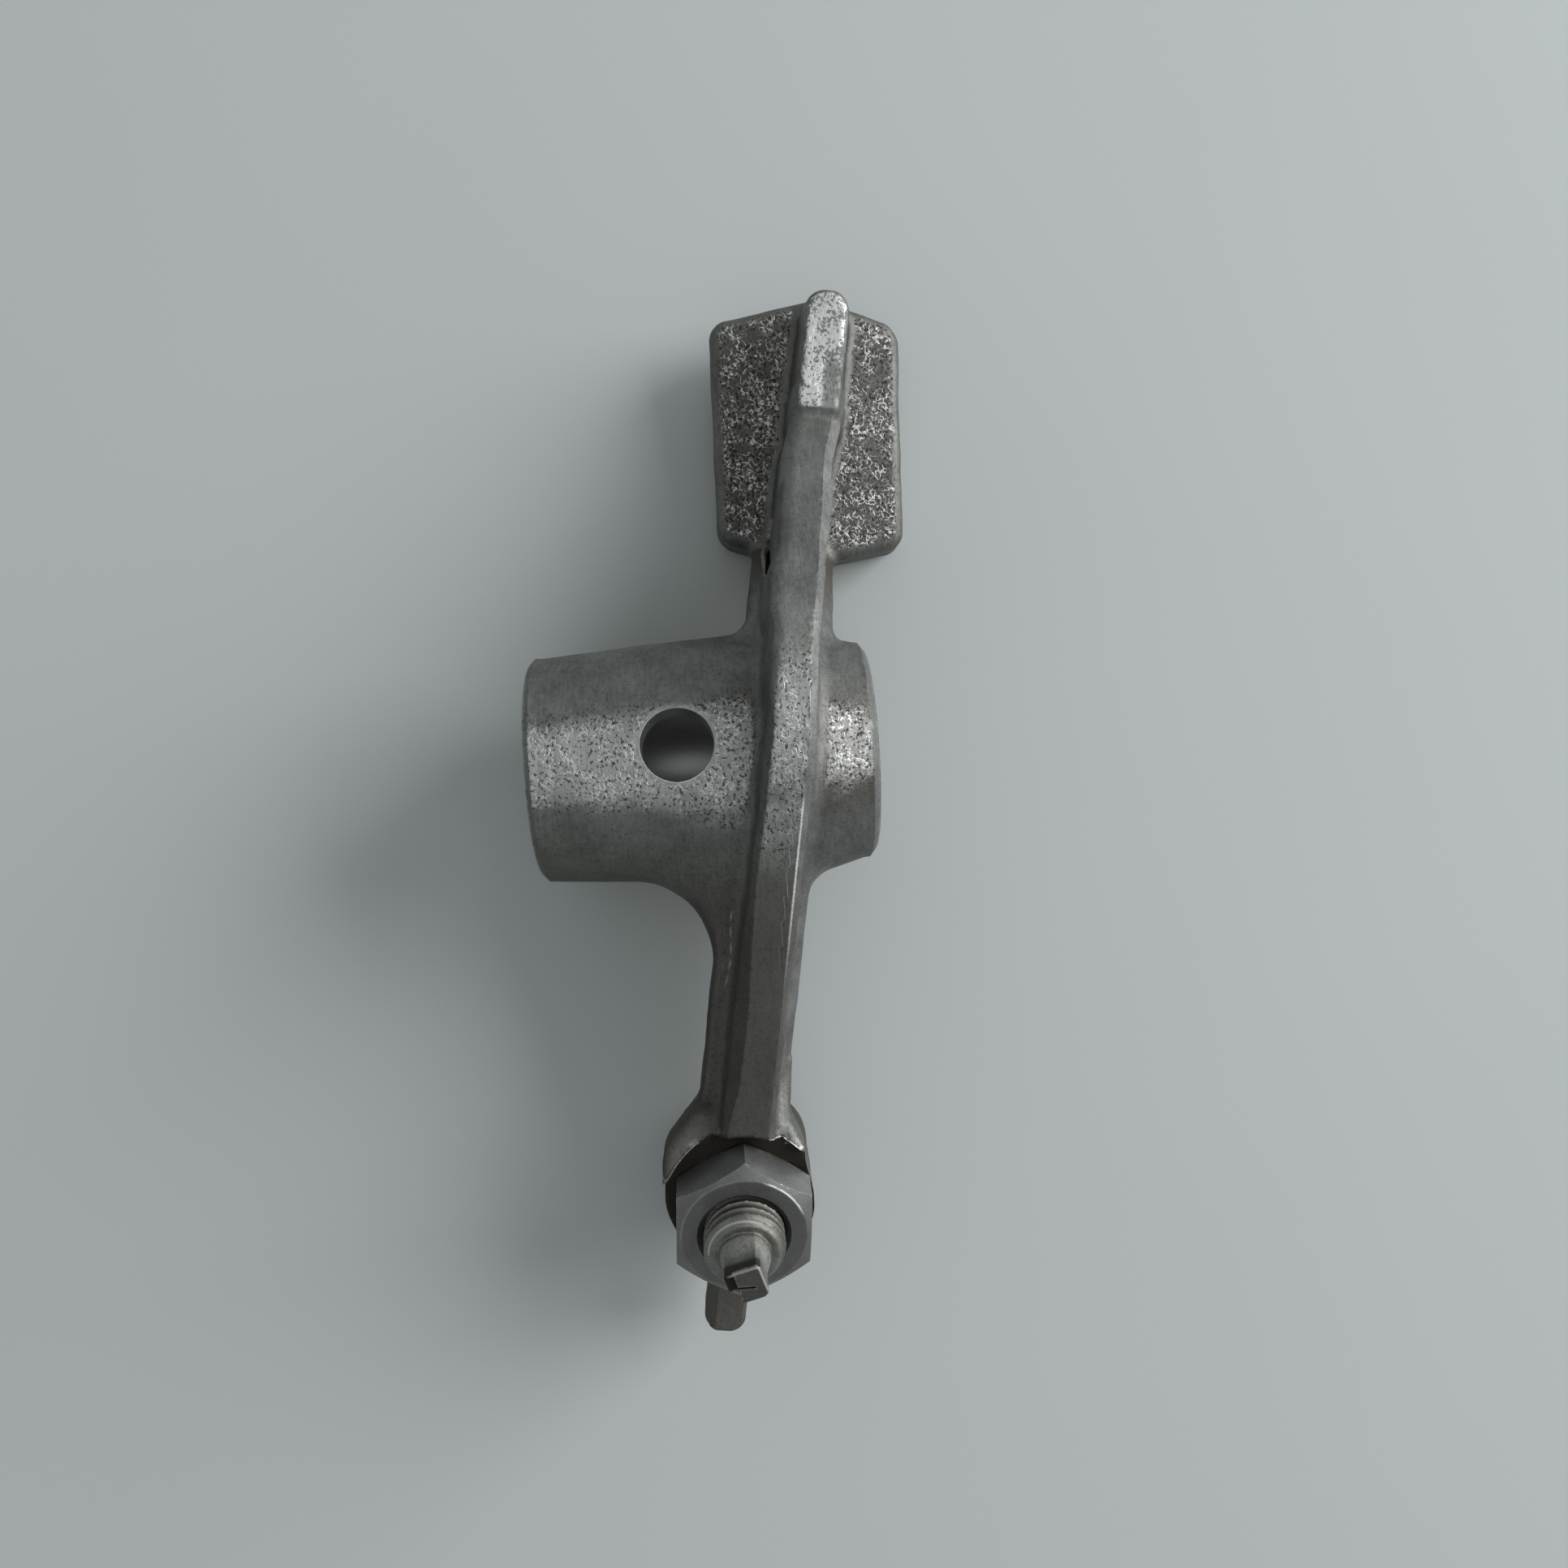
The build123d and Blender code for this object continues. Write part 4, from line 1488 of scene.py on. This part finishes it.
        # Painted shade in the drive's recess and on the drive's side under its end; the thread roots are
        # darker
        recess = at_end & (u < self.recess[0]) & (v > self.recess[1]) & (height < end - 0.05)
        under = ramp(height, top + 1.9, top + 2.7) * (v > self.drive_half - 0.4) * (~at_end)
        thread_root_darkening = 0.5 * (height < top - 0.5) * ramp(-radius, -self.radius + 0.05, -self.radius + 0.3)
        found["hollow_dirt_and_shade"] = shared(found["hollow_dirt_and_shade"], recess, 0.75 * under, thread_root_darkening)
        found["edge"] = found["edge"] * np.where(height < top - 0.2, 0.4, 1.0)
        return found

    def material(self) -> bpy.types.Material:
        """Builds the screw's finish."""
        tones = (0.15, 0.15, 0.135, 1), (0.27, 0.27, 0.25, 1), (0.55, 0.55, 0.52, 1)
        return TurnedSteel(self.SLOT, *tones, 0.54).material()


@dataclass
class LockNut(SkinnedPiece):
    """The lock nut: a hexagon chamfered on both faces and countersunk at the thread."""

    NAME = "machined_nut"
    NODE = "lock_nut"
    BODY = "nut"
    SLOT = "nut_steel"
    SHARP_DEGREES = 25

    pitch: float = 0.14
    half_flats: float = 5.0
    height: float = 3.55
    face_radius: float = 4.65
    chamfer: float = 30.0
    hole: float = 3.05
    countersink: float = 0.45
    lower_countersink: float = 0.27
    turn: float = 26.0
    wear_reach: tuple[float, float] = (0.6, 0.25)
    # Painted glint on the face rim: lowest height, and turn round the axis in degrees
    rim_level: float = 2.0
    rim_turns: tuple[float, ...] = (14, 28, 60, 72)
    rim_faint: tuple[float, float] = (80, 110)

    def distance(self, points: Array) -> Array:
        """Measures to the nut.

        Args:
            points: Points on the part.

        Returns:
            Distance, negative inside.
        """
        right, forward, height, radius = self.axis.local(points)
        turns = [self.turn + 30 + 60 * side for side in range(6)]
        flats = [turned(right, forward, turn)[0] - self.half_flats for turn in turns]
        over = height - self.height
        top_cone, _ = turned(over, radius - self.face_radius, self.chamfer)
        low_cone, _ = turned(-height, radius - self.half_flats, self.chamfer)
        mouth = shared(over + self.countersink, self.lower_countersink - height, 0)
        return shared(*flats, top_cone, low_cone, over, -height, self.hole + mouth - radius)

    def marks(self, skin: Skin) -> dict[str, Array]:
        """Finds where the nut is worn or dirty, where its up-facing faces are darker and rougher, and where a
        glint is painted.

        Args:
            skin: The nut's surface.

        Returns:
            Named values for each point.
        """
        right, forward, height, radius = self.axis.local(skin.points)
        turn = np.degrees(np.arctan2(forward, right))
        _, y, z = skin.normals.T
        _, facing = turned(y, z, self.axis.tilt)
        found = wear(self.distance, skin, *self.wear_reach)
        # Darker and rougher on faces that face up the axis
        found["darker_rougher_top"] = 0.9 * ramp(facing, 0.35, 0.6) + 0.2 * ramp(facing, 0.93, 0.99)
        found["bright"] = np.zeros(len(radius))
        found["line_offset"] = np.clip(radius - self.face_radius, -1, 1) + LINE_REACH
        # Painted glint on part of the face's rim
        lit = band(turn, *self.rim_turns) + 0.12 * ramp(turn, *self.rim_faint)
        found["line"] = (height > self.rim_level) * lit
        return found

    def material(self) -> bpy.types.Material:
        """Builds the nut's finish."""
        tones = (0.3, 0.305, 0.3, 1), (0.41, 0.415, 0.41, 1), (0.8, 0.8, 0.79, 1)
        return TurnedSteel(self.SLOT, *tones, 0.42).material()


# The studio


@dataclass
class Studio:
    """A pale floor, a large soft lamp, an even sky and a camera that looks straight down."""

    image_width: int = 1932
    focal_pixels: float = 1650.0
    camera_height: float = 102.3
    boss_pixel: tuple[float, float] = (867.8, 936.5)
    turn: float = 3.76
    roll: float = 2.5
    floor_colour: Colour = (0.46, 0.49, 0.49, 1)
    floor_size: float = 900.0
    foot_rest: tuple[float, float] = (-30.42, -10.43)
    pad_rest: tuple[float, float] = (21.8, -10.35)
    sky: float = 0.43
    sky_colour: Colour = (0.95, 1.0, 0.99, 1)
    key_place: tuple[float, float, float] = (0.62, 0.22, 0.31)
    key_size: float = 0.5
    key_watts: float = 6.2

    def camera(self) -> None:
        """Sets the camera above the part."""
        half = self.image_width / 2
        turn = Matrix.Rotation(math.radians(self.turn), 3, "Z")
        roll = Matrix.Rotation(math.radians(self.roll), 3, "Y")
        to_camera = turn @ roll
        scale = self.camera_height / self.focal_pixels
        shift = Vector(((self.boss_pixel[0] - half) * scale, -(self.boss_pixel[1] - half) * scale, 0))
        place = to_camera.transposed() @ (Vector((0, 0, self.camera_height)) - shift)
        data = bpy.data.cameras.new("camera")
        data.sensor_width = 36.0
        data.lens = data.sensor_width * self.focal_pixels / self.image_width
        data.clip_start = 0.001
        made = bpy.data.objects.new("camera", data)
        made.matrix_world = Matrix.Translation(place * MILLIMETRE) @ to_camera.transposed().to_4x4()
        bpy.context.scene.collection.objects.link(made)
        bpy.context.scene.camera = made

    def floor(self) -> None:
        """Lays a pale sheet under the screw's foot and the pad."""
        foot, pad = self.foot_rest, self.pad_rest
        slope = (pad[1] - foot[1]) / (pad[0] - foot[0])
        size = self.floor_size
        corners = []
        for x, y in ((-size, -size), (size, -size), (size, size), (-size, size)):
            level = foot[1] + (y - foot[0]) * slope
            corners.append((x * MILLIMETRE, y * MILLIMETRE, level * MILLIMETRE))
        mesh = bpy.data.meshes.new("floor")
        mesh.from_pydata(corners, [], [(0, 1, 2, 3)])
        made = bpy.data.objects.new("floor", mesh)
        bpy.context.scene.collection.objects.link(made)
        graph = Graph("pale_sheet")
        mottle = graph.noise(graph.place(), 0.02, 2)
        light = tuple(min(c * 1.05, 1) for c in self.floor_colour)
        graph.feed("Base Color", graph.blend(mottle, self.floor_colour, light))
        graph.feed("Roughness", 0.9)
        made.data.materials.append(graph.material)

    def lamp(self, name: str, place: Vector, size: float, watts: float) -> None:
        """Hangs one soft lamp that faces the part.

        Args:
            name: Name of the lamp.
            place: Where it hangs, in metres.
            size: Side of its square face, in metres.
            watts: Its power.
        """
        data = bpy.data.lights.new(name, "AREA")
        data.shape = "SQUARE"
        data.size = size
        data.energy = watts
        made = bpy.data.objects.new(name, data)
        facing = (-place).to_track_quat("-Z", "Y").to_matrix().to_4x4()
        made.matrix_world = Matrix.Translation(place) @ facing
        bpy.context.scene.collection.objects.link(made)

    def light(self) -> None:
        """Lights the part from the right, with an even sky."""
        self.lamp("key", Vector(self.key_place), self.key_size, self.key_watts)
        world = bpy.data.worlds.new("sky")
        world.use_nodes = True
        background = world.node_tree.nodes["Background"]
        background.inputs[0].default_value = self.sky_colour
        background.inputs[1].default_value = self.sky
        bpy.context.scene.world = world
        bpy.context.scene.view_settings.view_transform = "Standard"

    def build(self) -> None:
        """Makes the camera, the floor and the light."""
        self.camera()
        self.floor()
        self.light()


def main() -> None:
    """Builds the studio and the three pieces."""
    logging.basicConfig(level=logging.INFO, format="%(message)s")
    Studio().build()
    axis = ScrewAxis()
    for maker in (ForgedArm(axis), AdjustingScrew(axis), LockNut(axis)):
        piece = maker.build()
        log.info("%s: %d faces", piece.name, len(piece.data.polygons))


if __name__ == "__main__":
    main()
